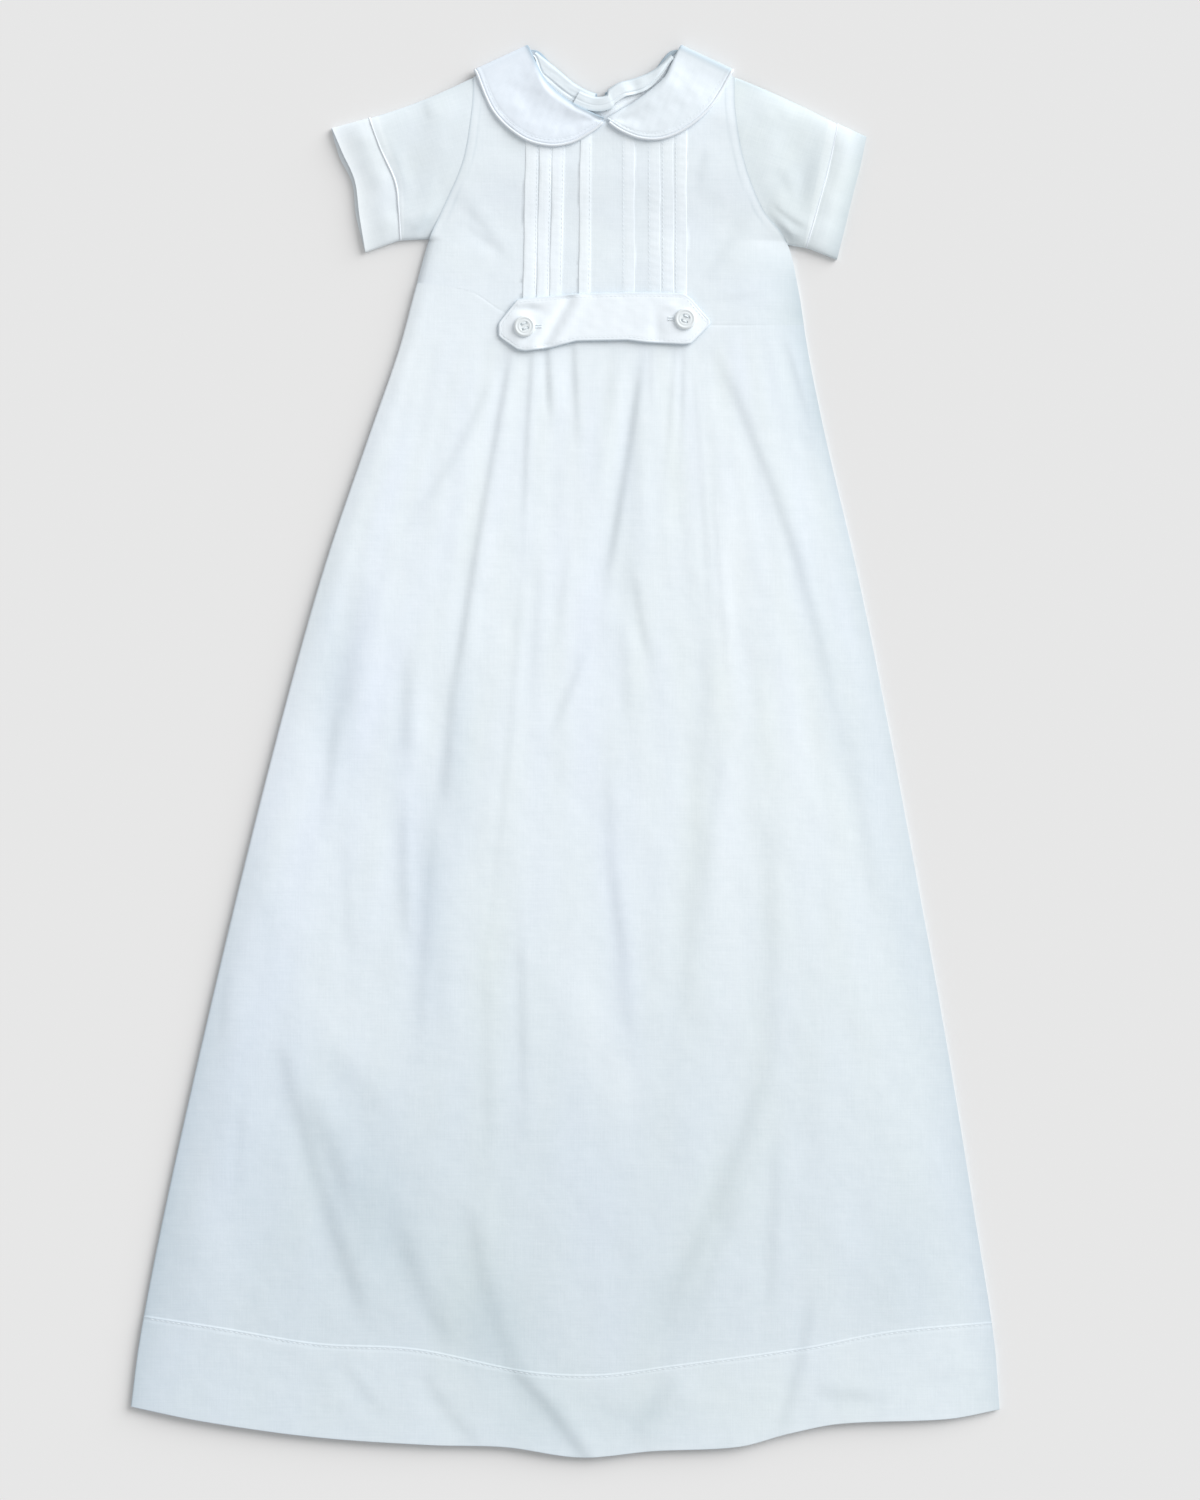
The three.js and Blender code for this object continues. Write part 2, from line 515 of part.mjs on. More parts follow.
const waistEnd = { left: leftEdge(waistTable[0].y), right: rightEdge(waistTable.at(-1).y) };
const stitchEnd = { left: leftEdge(stitchTable[0].y), right: rightEdge(stitchTable.at(-1).y) };
const hemEnd = { left: hemTable[0].x, right: hemTable.at(-1).x };

// Bodice columns: x at the top and at the waist, how far each follows the side, and its tuck height.
function bodiceColumns() {
  const columns = [];
  const sideSteps = 7;
  const first = tucks[0];
  const last = tucks.at(-1);
  const beside = -tuckProfile[0].in;
  for (const i of count(sideSteps)) {
    const t = i / sideSteps;
    columns.push({
      top: mix(shoulderEnd.leftX, first.foldTop - beside, t),
      waist: mix(waistEnd.left, first.foldWaist - beside, t),
      follow: 1 - t,
      side: "left",
      rise: 0,
    });
  }
  for (const tuck of tucks) {
    const to = Math.sign(tuck.stitchTop - tuck.foldTop);
    const own = tuckProfile.map((step) => ({
      top: tuck.foldTop + to * step.in,
      waist: tuck.foldWaist + to * step.in,
      follow: 0,
      side: "left",
      rise: step.share * tuckRise,
    }));
    columns.push(...(to > 0 ? own : own.reverse()));
  }
  for (const i of count(sideSteps)) {
    const t = (i + 1) / sideSteps;
    columns.push({
      top: mix(last.foldTop + beside, shoulderEnd.rightX, t),
      waist: mix(last.foldWaist + beside, waistEnd.right, t),
      follow: t,
      side: "right",
      rise: 0,
    });
  }
  return columns;
}

const shoulderTop = (x) => {
  const { leftX, rightX, y } = neckPoints;
  const end = shoulderEnd;
  if (x < leftX) return mix(end.y, y, (x - end.leftX) / (leftX - end.leftX));
  if (x > rightX) return mix(y, end.y, (x - rightX) / (end.rightX - rightX));
  return lookup(frontNeckTable, "x", "y", x);
};

function frontBodice() {
  const columns = bodiceColumns();
  const rows = 15;
  const place = (i, j) => {
    const column = columns[i];
    const v = j / (rows - 1);
    const y = mix(shoulderTop(column.top), waistY(column.waist) + seam / 2, v);
    const edge = column.side === "left" ? leftEdge : rightEdge;
    const tableTop = column.side === "left" ? shoulderEnd.leftX : shoulderEnd.rightX;
    const tableWaist = waistEnd[column.side];
    const bend = edge(y) - mix(tableTop, tableWaist, v);
    return [mix(column.top, column.waist, v) + column.follow * bend, y];
  };
  const inner = (i, j) => {
    const [x, y] = place(i, j);
    return [x, y, frontUnder(x, y)];
  };
  const outer = (i, j) => {
    const [x, y] = place(i, j);
    const swell = ease((underShoulder(x, y) - tuckStart.below) / tuckStart.over);
    return [x, y, frontTop(x, y) + columns[i].rise * swell];
  };
  return wallGeometry(columns.length, rows, outer, inner);
}

// Skirt panel: columns fan out from the waist to the hem, and rows crowd at the waist and the hem.
function skirtPanel(columns, rowShares, level) {
  const hemRows = [0, 0.06, 0.55, 1];
  const rows = rowShares.length + hemRows.length;
  const place = (i, j) => {
    const u = i / (columns - 1);
    const waistX = mix(waistEnd.left, waistEnd.right, u);
    const stitchX = mix(stitchEnd.left, stitchEnd.right, u);
    const hemX = mix(hemEnd.left, hemEnd.right, u);
    const top = waistY(waistX) - seam / 2;
    const stitch = stitchY(stitchX);
    const below = j - rowShares.length;
    const y = below < 0 ? mix(top, stitch, rowShares[j]) : mix(stitch, hemY(hemX), hemRows[below]);
    return [mix(leftEdge(y), rightEdge(y), u), y, below > 0 ? 1 : 0];
  };
  const inner = (i, j) => {
    const [x, y] = place(i, j);
    return [x, y, level(x, y)];
  };
  const outer = (i, j) => {
    const [x, y, hem] = place(i, j);
    return [x, y, level(x, y) + wall + hem * hemRise];
  };
  return wallGeometry(columns, rows, outer, inner);
}

function frontSkirt() {
  const shares = [0, 0.02, 0.05, 0.09, 0.14, 0.19, 0.25, 0.31, 0.38, 0.45, 0.52, 0.59, 0.66, 0.73, 0.8, 0.87, 0.94, 0.99];
  return skirtPanel(67, shares, frontUnder);
}

// The back panels lie on the surface, so their undersides are flat but for the collar under them.
function backSkirt() {
  const rows = 8;
  const columns = 25;
  const flat = (i, j) => {
    const u = i / (columns - 1);
    const waistX = mix(waistEnd.left, waistEnd.right, u);
    const y = mix(waistY(waistX) - seam, hemY(mix(hemEnd.left, hemEnd.right, u)), j / rows);
    return [mix(leftEdge(y), rightEdge(y), u), y];
  };
  const at = (z) => (i, j) => [...flat(i, j), z];
  return wallGeometry(columns, rows + 1, at(0), at(wall));
}

const backTop = (x) => {
  const { leftX, rightX } = neckPoints;
  return x < leftX || x > rightX ? shoulderTop(x) : Math.min(rollY(x) - backNeckInset, neckPoints.y);
};

function backBodice(side) {
  const left = side === "left";
  const columns = 15;
  const rows = 12;
  const outside = { top: left ? shoulderEnd.leftX : shoulderEnd.rightX, waist: waistEnd[side] };
  const middle = left ? lap.to : lap.from;
  const neckX = left ? neckPoints.leftX : neckPoints.rightX;
  const edge = left ? leftEdge : rightEdge;
  const place = (i, j) => {
    const u = i / (columns - 1);
    const v = j / (rows - 1);
    const top = u < 0.4 ? mix(outside.top, neckX, u / 0.4) : mix(neckX, middle, (u - 0.4) / 0.6);
    const waist = mix(outside.waist, middle, u);
    const y = mix(backTop(top), waistY(waist) + seam, v);
    const bend = edge(y) - mix(outside.top, outside.waist, v);
    return [mix(top, waist, v) + (1 - ease(u)) * bend, y];
  };
  const level = (x, y) => floorLift(x, y) + (left ? 0 : lapLift(x));
  const at = (extra) => (i, j) => {
    const [x, y] = place(i, j);
    return [x, y, level(x, y) + extra];
  };
  return wallGeometry(columns, rows, at(0), at(wall));
}

// Neck band: a strip inside the back of the neck that turns down over the roll line.
function neckBand(side) {
  const { from, to, taper } = neckBands[side];
  const depthAt = (x) => mix(bandDepth.end, bandDepth.middle, ease((side === "left" ? x - from : to - x) / taper));
  const columns = side === "left" ? 10 : 18;
  const outerShape = [
    { up: wall },
    { in: 1.2, up: wall },
    { in: 0.25, up: 0.7 },
    { in: 0, foot: true },
  ];
  const innerShape = [
    { up: 0 },
    { in: 2.2, up: 0 },
    { in: 1.4, up: -0.35 },
    { in: wall, foot: true },
  ];
  const foot = wall + seam; // the strip ends just above the collar's back leaf
  const at = (shape) => (i, j) => {
    const x = mix(from, to, i / (columns - 1));
    const y = rollY(x);
    const along = new THREE.Vector2(1, rollY(x + 0.5) - rollY(x - 0.5)).normalize();
    const base = floorLift(x, y) + (side === "left" ? 0 : lapLift(x)) + wall + seam;
    const { in: inwards = depthAt(x), up, foot: isFoot } = shape[j];
    return [x + along.y * inwards, y - along.x * inwards, isFoot ? foot : base + up];
  };
  return wallGeometry(columns, 4, at(outerShape), at(innerShape));
}

// Sleeve and cuff columns: t runs from the shoulder fold to the underarm fold, on the front and
// then back along the underside.
const tubeShares = [0.014, 0.05, 0.1, 0.18, 0.28, 0.38, 0.5, 0.62, 0.72, 0.82, 0.9, 0.95, 0.986];
const tubeColumns = [
  { t: 0, side: "fold" },
  ...tubeShares.map((t) => ({ t, side: "front" })),
  { t: 1, side: "fold" },
  ...tubeShares.toReversed().map((t) => ({ t, side: "back" })),
];
const tubeRise = (t) => Math.sqrt(1 - (1 - clamp(Math.min(t, 1 - t) / tubeRound)) ** 2);

// A flattened tube from one seam to the next; start and end give the xy of those seams.
function tube(rows, start, end, gapAt, { sag, rise }) {
  const point = (i, j, inside) => {
    const { t, side } = tubeColumns[i % tubeColumns.length];
    const s = j / (rows - 1);
    const inset = inside ? (wall + 0.1) / Math.abs(start(0)[1] - start(1)[1]) : 0;
    const across = mix(inset, 1 - inset, t);
    const a = start(across, side);
    const b = end(across, side);
    const x = mix(a[0], b[0], s);
    const y = mix(a[1], b[1], s) - sag * 4 * s * (1 - s) * (1 - t);
    const base = floorLift(x, y);
    const top = seam + gapAt(x, y, t, s) * tubeRise(t);
    const levels = inside
      ? { front: wall + top, fold: wall + seam / 2, back: wall }
      : { front: 2 * wall + top + rise, fold: wall + seam / 2, back: 0 };
    return [x, y, base + levels[side]];
  };
  const outer = (i, j) => point(i, j, false);
  const inner = (i, j) => point(i, j, true);
  return wallGeometry(tubeColumns.length, rows, outer, inner, true);
}

const ripple = (wave, t, s) => wave.ripple * Math.sin(wave.acrossPace * t + wave.alongPace * s);

// A wave along the sleeve that shows where it creases at the underarm.
const sleeveCrease = (t, s) =>
  ripple(sleeveWave, t, s) - sleeveWave.dip * Math.exp(-(((t - sleeveWave.at) / sleeveWave.over) ** 2)) * ease(1 - s);

function sleeve(side) {
  const own = sleeves[side];
  const edge = side === "left" ? leftEdge : rightEdge;
  const start = (t) => {
    const y = mix(own.topY, own.underarmY, t);
    return [edge(y) + own.away * 2 * seam, y];
  };
  const seamLine = spline(own.cuffSeam);
  const end = (t, layer) => {
    const p = seamLine.getPoint(t);
    return [p.x - own.away * (layer === "back" ? seam / 2 : pipingRadius + seam), p.y];
  };
  const gapAt = (x, y, t, s) => {
    const [seamX, seamY] = start(t);
    const body = frontGap(seamX, seamY);
    return Math.min(mostSleeveGap, mix(body, sleeveDome + sleeveCrease(t, s), ease(s * sleeveRun)));
  };
  return tube(7, start, end, gapAt, { sag: own.topSag, rise: 0 });
}

function cuff(side) {
  const own = sleeves[side];
  const seamLine = spline(own.cuffSeam);
  const frontLine = spline(own.frontEdge);
  const backLine = spline(own.backEdge);
  const start = (t, layer) => {
    const p = seamLine.getPoint(t);
    return [p.x + own.away * (layer === "back" ? seam / 2 : pipingRadius + seam), p.y];
  };
  const end = (t, layer) => (layer === "back" ? backLine : frontLine).getPoint(t).toArray();
  const gapAt = (x, y, t, s) => Math.min(mostSleeveGap, sleeveDome + ripple(cuffWave, t, s));
  return tube(4, start, end, gapAt, { sag: 0, rise: cuffRise });
}

// The piping lies in the groove between sleeve and cuff, and turns down at the two folds.
function cuffPiping(side) {
  const own = sleeves[side];
  const line = spline(own.cuffSeam);
  const path = tubeShares.map((t) => {
    const { x, y } = line.getPoint(t);
    const top = floorLift(x, y) + 2 * wall + seam + sleeveDome * tubeRise(t);
    return { centre: [x, y, top - 0.1], up: [0, 0, 1] };
  });
  return pipingGeometry(path, pipingRadius);
}

const collarShares = [
  ...count(collarSteps.front).map((i) => (i / collarSteps.front) * collarShare.front),
  ...count(collarSteps.turn).map((i) => mix(collarShare.front, collarShare.turn, i / collarSteps.turn)),
  ...count(collarSteps.back + 1).map((i) => mix(collarShare.turn, 1, i / collarSteps.back)),
];

// A collar half as a strip: across it, v runs from the neck edge to the outer edge.
function collarPlace(side) {
  const own = collars[side];
  const neck = spline(own.frontNeck);
  const edge = spline(own.frontEdge);
  const backEdge = spline(own.backEdge);
  const backNeckX = [own.frontNeck.at(-1)[0], own.backNeckEnd];
  const leaf = (x, y, v, a) => {
    const { left, right, ramp } = tuckSpan;
    const tucked = ease((x - left) / ramp) * ease((right - x) / ramp);
    const overTucks = tuckRise * tucked * ease(underShoulder(x, y) / tuckStart.over);
    return frontTop(x, y) + overTucks + rest + collarFlare * (1 - v) ** 2 * (1 - ease((a - 0.5) / 0.5));
  };
  // Returns the point of the collar's inner face and the direction its thickness grows in.
  return (u, v) => {
    if (u <= collarShare.front) {
      const a = u / collarShare.front;
      const p = neck.getPoint(a);
      const q = edge.getPoint(a);
      const x = mix(p.x, q.x, v);
      const y = mix(p.y, q.y, v);
      return { point: [x, y, leaf(x, y, v, a)], out: [0, 0, 1] };
    }
    const p = neck.getPoint(1);
    const q = edge.getPoint(1);
    if (u <= collarShare.turn) {
      const a = ((u - collarShare.front) / (collarShare.turn - collarShare.front)) * Math.PI;
      const radius = (collarTop - 2 * wall) / 2;
      const out = [own.outward[0] * Math.sin(a), own.outward[1] * Math.sin(a), Math.cos(a)];
      const x = mix(p.x, q.x, v) + out[0] * radius;
      const y = mix(p.y, q.y, v) + out[1] * radius;
      return { point: [x, y, collarTop / 2 + out[2] * radius], out };
    }
    const b = (u - collarShare.turn) / (1 - collarShare.turn);
    const nx = mix(backNeckX[0], backNeckX[1], b);
    const ny = mix(p.y, rollY(nx) - 0.2, ease(b * 3));
    const e = backEdge.getPoint(b);
    return { point: [mix(nx, e.x, v), mix(ny, e.y, v), wall], out: [0, 0, -1] };
  };
}

function collar(side) {
  const place = collarPlace(side);
  const rows = 5;
  const at = (depth) => (i, j) => {
    const { point, out } = place(collarShares[i], j / (rows - 1));
    return point.map((value, k) => value + out[k] * depth);
  };
  return wallGeometry(collarShares.length, rows, at(wall), at(0));
}

// The piping follows the collar's outer edge, front leaf, shoulder fold and back leaf.
function collarPiping(side) {
  const place = collarPlace(side);
  const offset = pipingRadius + seam;
  const path = collarShares.slice(1, -1).map((u) => {
    const { point, out } = place(u, 1);
    const before = new THREE.Vector3(...place(Math.max(0, u - 0.01), 1).point);
    const after = new THREE.Vector3(...place(Math.min(1, u + 0.01), 1).point);
    const inner = new THREE.Vector3(...place(u, 0.9).point);
    const edge = new THREE.Vector3(...point);
    const along = after.sub(before).normalize();
    const away = edge.clone().sub(inner);
    away.addScaledVector(along, -away.dot(along)).normalize();
    const depth = mix(wall / 2, wall - pipingRadius, ease((u - collarShare.front) / (collarShare.turn - collarShare.front)));
    const centre = edge.addScaledVector(away, offset).addScaledVector(new THREE.Vector3(...out), depth);
    return { centre: centre.toArray(), up: out };
  });
  return pipingGeometry(path, pipingRadius);
}

// Underside of the tab: it bridges the tucks and pleats under it.
const tabUnder = (x) => {
  const droop = tabDroop.depth * ease((Math.abs(x - middleX) - tabDroop.from) / tabDroop.over);
  return 2 * wall + seam + mostGap.tab + rest - droop;
};

function frontTab() {
  const marks = tabTable.flatMap((row, i) => {
    const next = tabTable[i + 1];
    return next && next.x - row.x > 12 ? [row.x, mix(row.x, next.x, 0.5)] : [row.x];
  });
  const rows = 6;
  const at = (extra) => (i, j) => {
    const x = marks[i];
    const y = mix(straight(tabTable, "top", x), straight(tabTable, "bottom", x), j / (rows - 1));
    return [x, y, tabUnder(x) + extra];
  };
  return wallGeometry(marks.length, rows, at(wall), at(0));
}

// Four-hole button: a turned disc with a raised rim and a dished middle.
async function buttonGeometry() {
  const wasm = await Module();
  wasm.setup();
  const solidOf = (geometry) => {
    const bare = geometry.clone();
    bare.deleteAttribute("normal");
    bare.deleteAttribute("uv");
    const merged = mergeVertices(bare, 1e-4);
    return new wasm.Manifold(
      new wasm.Mesh({
        numProp: 3,
        vertProperties: merged.attributes.position.array,
        triVerts: new Uint32Array(merged.index.array),
      }),
    );
  };
  const { radius, height, dish, rim } = button;
  const { foot, footRise, top, topDrop, dishSlope } = buttonEdge;
  const profile = [
    [0, 0],
    [radius - foot, 0],
    [radius, footRise],
    [radius, height - topDrop],
    [radius - top, height],
    [radius - rim, height],
    [radius - rim - dishSlope, height - dish],
    [0, height - dish],
  ];
  const disc = new THREE.LatheGeometry(profile.map(([x, y]) => new THREE.Vector2(x, y)), 24).rotateX(Math.PI / 2);
  let solid = solidOf(disc);
  for (const [sx, sy] of [[-1, -1], [1, -1], [1, 1], [-1, 1]]) {
    const hole = new THREE.CylinderGeometry(button.holeRadius, button.holeRadius, 4 * height, 8);
    hole.rotateX(Math.PI / 2).translate(sx * button.holeSpread, sy * button.holeSpread, 0);
    solid = solid.subtract(solidOf(hole));
  }
  const mesh = solid.getMesh();
  const points = new Float32Array(mesh.numVert * 3);
  for (const i of count(mesh.numVert)) {
    points.set(mesh.vertProperties.subarray(i * mesh.numProp, i * mesh.numProp + 3), i * 3);
  }
  return new THREE.BufferGeometry()
    .setAttribute("position", new THREE.BufferAttribute(points, 3))
    .setIndex([...mesh.triVerts]);
}

function material(color, roughness) {
  return new THREE.MeshStandardMaterial({ color, roughness, metalness: 0 });
}

async function gown() {
  const group = new THREE.Group();
  const cloth = material(white.cloth, 0.85);
  const trim = material(white.trim, 0.8);
  const pearl = material(white.button, 0.3);
  const add = (name, geometry, finish) => {
    const mesh = new THREE.Mesh(geometry, finish);
    mesh.name = name;
    group.add(mesh);
    return mesh;
  };
  add("front_bodice", frontBodice(), cloth);
  add("front_skirt", frontSkirt(), cloth);
  add("back_skirt", backSkirt(), cloth);
  for (const side of ["left", "right"]) {
    add(`back_bodice_${side}`, backBodice(side), cloth);
    add(`sleeve_${side}`, sleeve(side), cloth);
    add(`cuff_${side}`, cuff(side), cloth);
    add(`cuff_piping_${side}`, cuffPiping(side), trim);
    add(`collar_${side}`, collar(side), cloth);
    add(`collar_piping_${side}`, collarPiping(side), trim);
    add(`neck_band_${side}`, neckBand(side), cloth);
  }
  add("front_tab", frontTab(), cloth);
  const disc = await buttonGeometry();
  for (const [name, { x, y }] of Object.entries(buttons)) {
    add(name, disc, pearl).position.set(x, y, tabUnder(x) + wall + seam);
  }
  return group;
}

export default await gown();
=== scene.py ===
# A christening gown laid flat on its back: fine cotton panels, piped collar and cuffs, tucks, a tab.
import bpy
import numpy as np
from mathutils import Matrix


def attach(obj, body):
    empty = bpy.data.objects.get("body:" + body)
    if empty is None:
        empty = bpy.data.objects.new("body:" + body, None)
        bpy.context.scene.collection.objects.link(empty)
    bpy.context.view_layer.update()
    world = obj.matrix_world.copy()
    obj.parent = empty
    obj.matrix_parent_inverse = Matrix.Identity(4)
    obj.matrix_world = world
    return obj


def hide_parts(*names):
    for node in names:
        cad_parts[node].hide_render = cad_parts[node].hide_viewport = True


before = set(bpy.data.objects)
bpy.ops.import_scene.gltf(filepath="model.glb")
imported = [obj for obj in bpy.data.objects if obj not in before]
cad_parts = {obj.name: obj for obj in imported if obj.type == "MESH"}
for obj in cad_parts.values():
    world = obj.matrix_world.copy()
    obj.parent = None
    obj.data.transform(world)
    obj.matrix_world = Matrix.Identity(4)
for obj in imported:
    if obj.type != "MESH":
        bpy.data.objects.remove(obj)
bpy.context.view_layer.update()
print("gown: frame loaded with", len(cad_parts), "nodes")

# All shapes are worked out in millimetres, and go into metres as a mesh is made.
cloth = {
    "wall": 1.2,       # the frame's wall, which sets how the pieces lie on each other
    "seam": 0.3,
    "thin": 0.8,       # thickness of the shells that show
    "domeSkirt": 2.5,
    "domeBodice": 2.2,
    "domeHem": 1.4,
    "mostGap": 3.1,    # under the tab
    "mostFold": 6.2,   # further down
}
# Width over which the front rounds down to each side seam: the right side lies flatter.
sideRound = {
    "y": [404, 240, 115, -65, -280, -423],
    "left": [8, 10, 14, 20, 34, 36],
    "right": [22, 40, 60, 80, 90, 90],
    "atOnce": [0.4, 0.5, 0.5, 0.45, 0.28, 0.28],  # share of the height in the left side's first step
    "step": 0.6,
    "folds": 9,
    "sleeveRun": 2.2,  # above the underarm the panel runs on into the sleeves
}


# Small formulas
def mix(a, b, t):
    # straight line from a to b
    return a + (b - a) * t


def ease(t):
    # 3t^2 - 2t^3 between 0 and 1, flat outside
    t = np.clip(t, 0.0, 1.0)
    return t * t * (3.0 - 2.0 * t)


def bell(distance, width):
    # exp(-(distance / width)^2)
    return np.exp(-(distance / width) ** 2)


def dipRound(distance, radius):
    # quarter circle: 0 at the edge, 1 from radius inwards
    t = np.clip(distance / radius, 0.0, 1.0)
    return np.sqrt(1.0 - (1.0 - t) ** 2)


def unit(vectors):
    # each vector over its length
    return vectors / np.maximum(np.linalg.norm(vectors, axis=-1, keepdims=True), 1e-9)


def points3(x, y, z):
    # three coordinates as one array of points
    return np.stack(np.broadcast_arrays(x, y, z), axis=-1)


def spread(knots, counts):
    # values that run from knot to knot in the given numbers of steps
    parts = [np.linspace(a, b, n, endpoint=False) for a, b, n in zip(knots[:-1], knots[1:], counts)]
    return np.concatenate(parts + [np.array([knots[-1]])])


def curveThrough(xs, ys, at):
    # cubic through the points, whose slope at each is the rise between its two neighbours
    order = np.argsort(xs)
    xs = np.asarray(xs, float)[order]
    ys = np.asarray(ys, float)[order]
    slope = np.empty(len(xs))
    slope[1:-1] = (ys[2:] - ys[:-2]) / (xs[2:] - xs[:-2])
    slope[0] = (ys[1] - ys[0]) / (xs[1] - xs[0])
    slope[-1] = (ys[-1] - ys[-2]) / (xs[-1] - xs[-2])
    at = np.clip(at, xs[0], xs[-1])
    i = np.clip(np.searchsorted(xs, at) - 1, 0, len(xs) - 2)
    span = xs[i + 1] - xs[i]
    t = (at - xs[i]) / span
    bend = t * (1 - t) * span * ((1 - t) * slope[i] - t * slope[i + 1])
    return mix(ys[i], ys[i + 1], t * t * (3 - 2 * t)) + bend


def splineThrough(points, t):
    # uniform Catmull-Rom: each span's cubic leaves and arrives along half the chord of its neighbours
    p = np.asarray(points, float)
    last = len(p) - 1
    at = np.clip(np.asarray(t, float), 0, 1) * last
    i = np.clip(np.floor(at).astype(int), 0, last - 1)
    f = (at - i)[..., None]
    here = p[i]
    after = p[i + 1]
    before = p[np.maximum(i - 1, 0)]
    beyond = p[np.minimum(i + 2, last)]
    leave = (after - before) * 0.5
    arrive = (beyond - here) * 0.5
    cubic = (2 * here - 2 * after + leave + arrive) * f ** 3
    return cubic + (3 * after - 3 * here - 2 * leave - arrive) * f ** 2 + leave * f + here


def crumple(x, y, size, seed):
    # sum of eight slow sine waves in turned directions, from about -1 to 1
    total = 0.0
    for k in range(8):
        turn = 2.4 * k + 0.7 * seed
        pace = 2 * np.pi / (size * (0.7 + 0.17 * k))
        total = total + np.sin((x * np.cos(turn) + y * np.sin(turn)) * pace + 1.9 * k * seed + seed)
    return total / 5.0


def softLimit(value, low, high):
    # stays the same in between and bends over towards the two limits
    middle = (low + high) / 2
    half = (high - low) / 2
    return middle + half * np.tanh((value - middle) / half)


# The gown's outline and lines
body = {
    "y": [404, 384, 353, 324, 306, 276, 240, 187, 115, 42, -65, -173, -281, -353, -396],
    "left": [-54.8, -55.8, -61.2, -73.6, -81.6, -90.0, -99.8, -118.2, -142.8, -163.8, -191.4,
             -217.2, -241.2, -255.0, -260.6],
    "right": [101.6, 102.0, 107.4, 118.8, 132.6, 140.0, 145.6, 156.4, 173.4, 188.6, 208.8,
              228.4, 246.0, 257.2, 260.6],
    "underarm": 306,
}
hemLine = {
    "x": [-260.6, -216, -150, -80, -36, 9, 53, 104, 134, 165, 230, 260.6],
    "y": [-393.0, -402.0, -411.2, -416.0, -417.2, -423.4, -419.6, -417.0, -409.2, -403.2, -400.4, -394.8],
}
hemStitching = {
    "x": [-251, -206, -149, -89, -23, 20, 64, 143, 194, 253],
    "y": [-338.8, -345.6, -355.0, -358.4, -371.6, -373.8, -368.4, -357.6, -348.0, -342.6],
    "rise": 0.36,
}
waistLine = {
    "x": [-92, -57, -36, 0, 88, 146],
    "y": [281.0, 275.4, 263.0, 257.4, 255.0, 255.4],
    "groove": 0.13,
    "swell": 0.05,
    "showsLeft": 0.6,
    "showsRight": 0.8,
}
neck = {"leftX": -21.4, "rightX": 68.6, "middleX": 23.5, "y": 419.7, "shoulderY": 403.6, "slope": 0.482,
        "settle": 28, "settleFront": 7, "backRise": 1.5}
frontNeck = {
    "x": [-21.4, -12, 0, 12, 24.5, 38, 50, 60, 68.6],
    "y": [419.7, 399.0, 388.8, 382.4, 377.4, 384.0, 392.4, 402.4, 419.7],
}
backRoll = {
    "x": [-21, -5, 8, 21, 34, 53, 68],
    "y": [422.4, 409.4, 399.0, 394.4, 400.6, 408.4, 422.4],
    "inset": 2.9,
}
collarBed = {"halfWidth": 80, "rampX": 40, "bottom": 353, "rampY": 45, "lift": 2.1}
lap = {"start": 9.6, "end": 22.0, "level": 28, "ramp": 14, "from": 245, "over": 8}
topEnds = {"left": body["left"][0], "right": body["right"][0]}
hemEnds = {"left": body["left"][-1], "right": body["right"][-1]}


# Each line is a cubic through its own points: x of the two sides, y of the others.
def leftEdge(y):
    return curveThrough(body["y"], body["left"], y)


def rightEdge(y):
    return curveThrough(body["y"], body["right"], y)


def hemY(x):
    return curveThrough(hemLine["x"], hemLine["y"], x)


def stitchY(x):
    return curveThrough(hemStitching["x"], hemStitching["y"], x)


def waistY(x):
    return curveThrough(waistLine["x"], waistLine["y"], x)


def frontNeckY(x):
    return curveThrough(frontNeck["x"], frontNeck["y"], x)


def rollY(x):
    return curveThrough(backRoll["x"], backRoll["y"], x)


waistEnds = {"left": float(leftEdge(waistLine["y"][0])), "right": float(rightEdge(waistLine["y"][-1]))}


def floorLift(x, y):
    # the body lies on the collar's back leaves: a plateau that eases down to the surface
    across = 1 - ease((np.abs(x - neck["middleX"]) - collarBed["halfWidth"]) / collarBed["rampX"])
    return collarBed["lift"] * across * (1 - ease((collarBed["bottom"] - y) / collarBed["rampY"]))


def lapLift(x):
    # the right back half is lifted by the left one's wall where it laps over it
    return (cloth["wall"] + cloth["seam"]) * (1 - ease((x - lap["level"]) / lap["ramp"]))


def neckLift(x, y):
    # the back stands up inside the neck opening, over the front's neckline
    inside = ease((x - neck["leftX"]) / 8) * ease((neck["rightX"] - x) / 8)
    return neck["backRise"] * ease((y - frontNeckY(x)) / 5) * inside


def underShoulder(x, y):
    # distance of a point below the shoulder folds
    out = np.where(x < neck["middleX"], neck["leftX"] - x, x - neck["rightX"])
    return (neck["y"] - neck["slope"] * out - y) / np.hypot(1, neck["slope"])


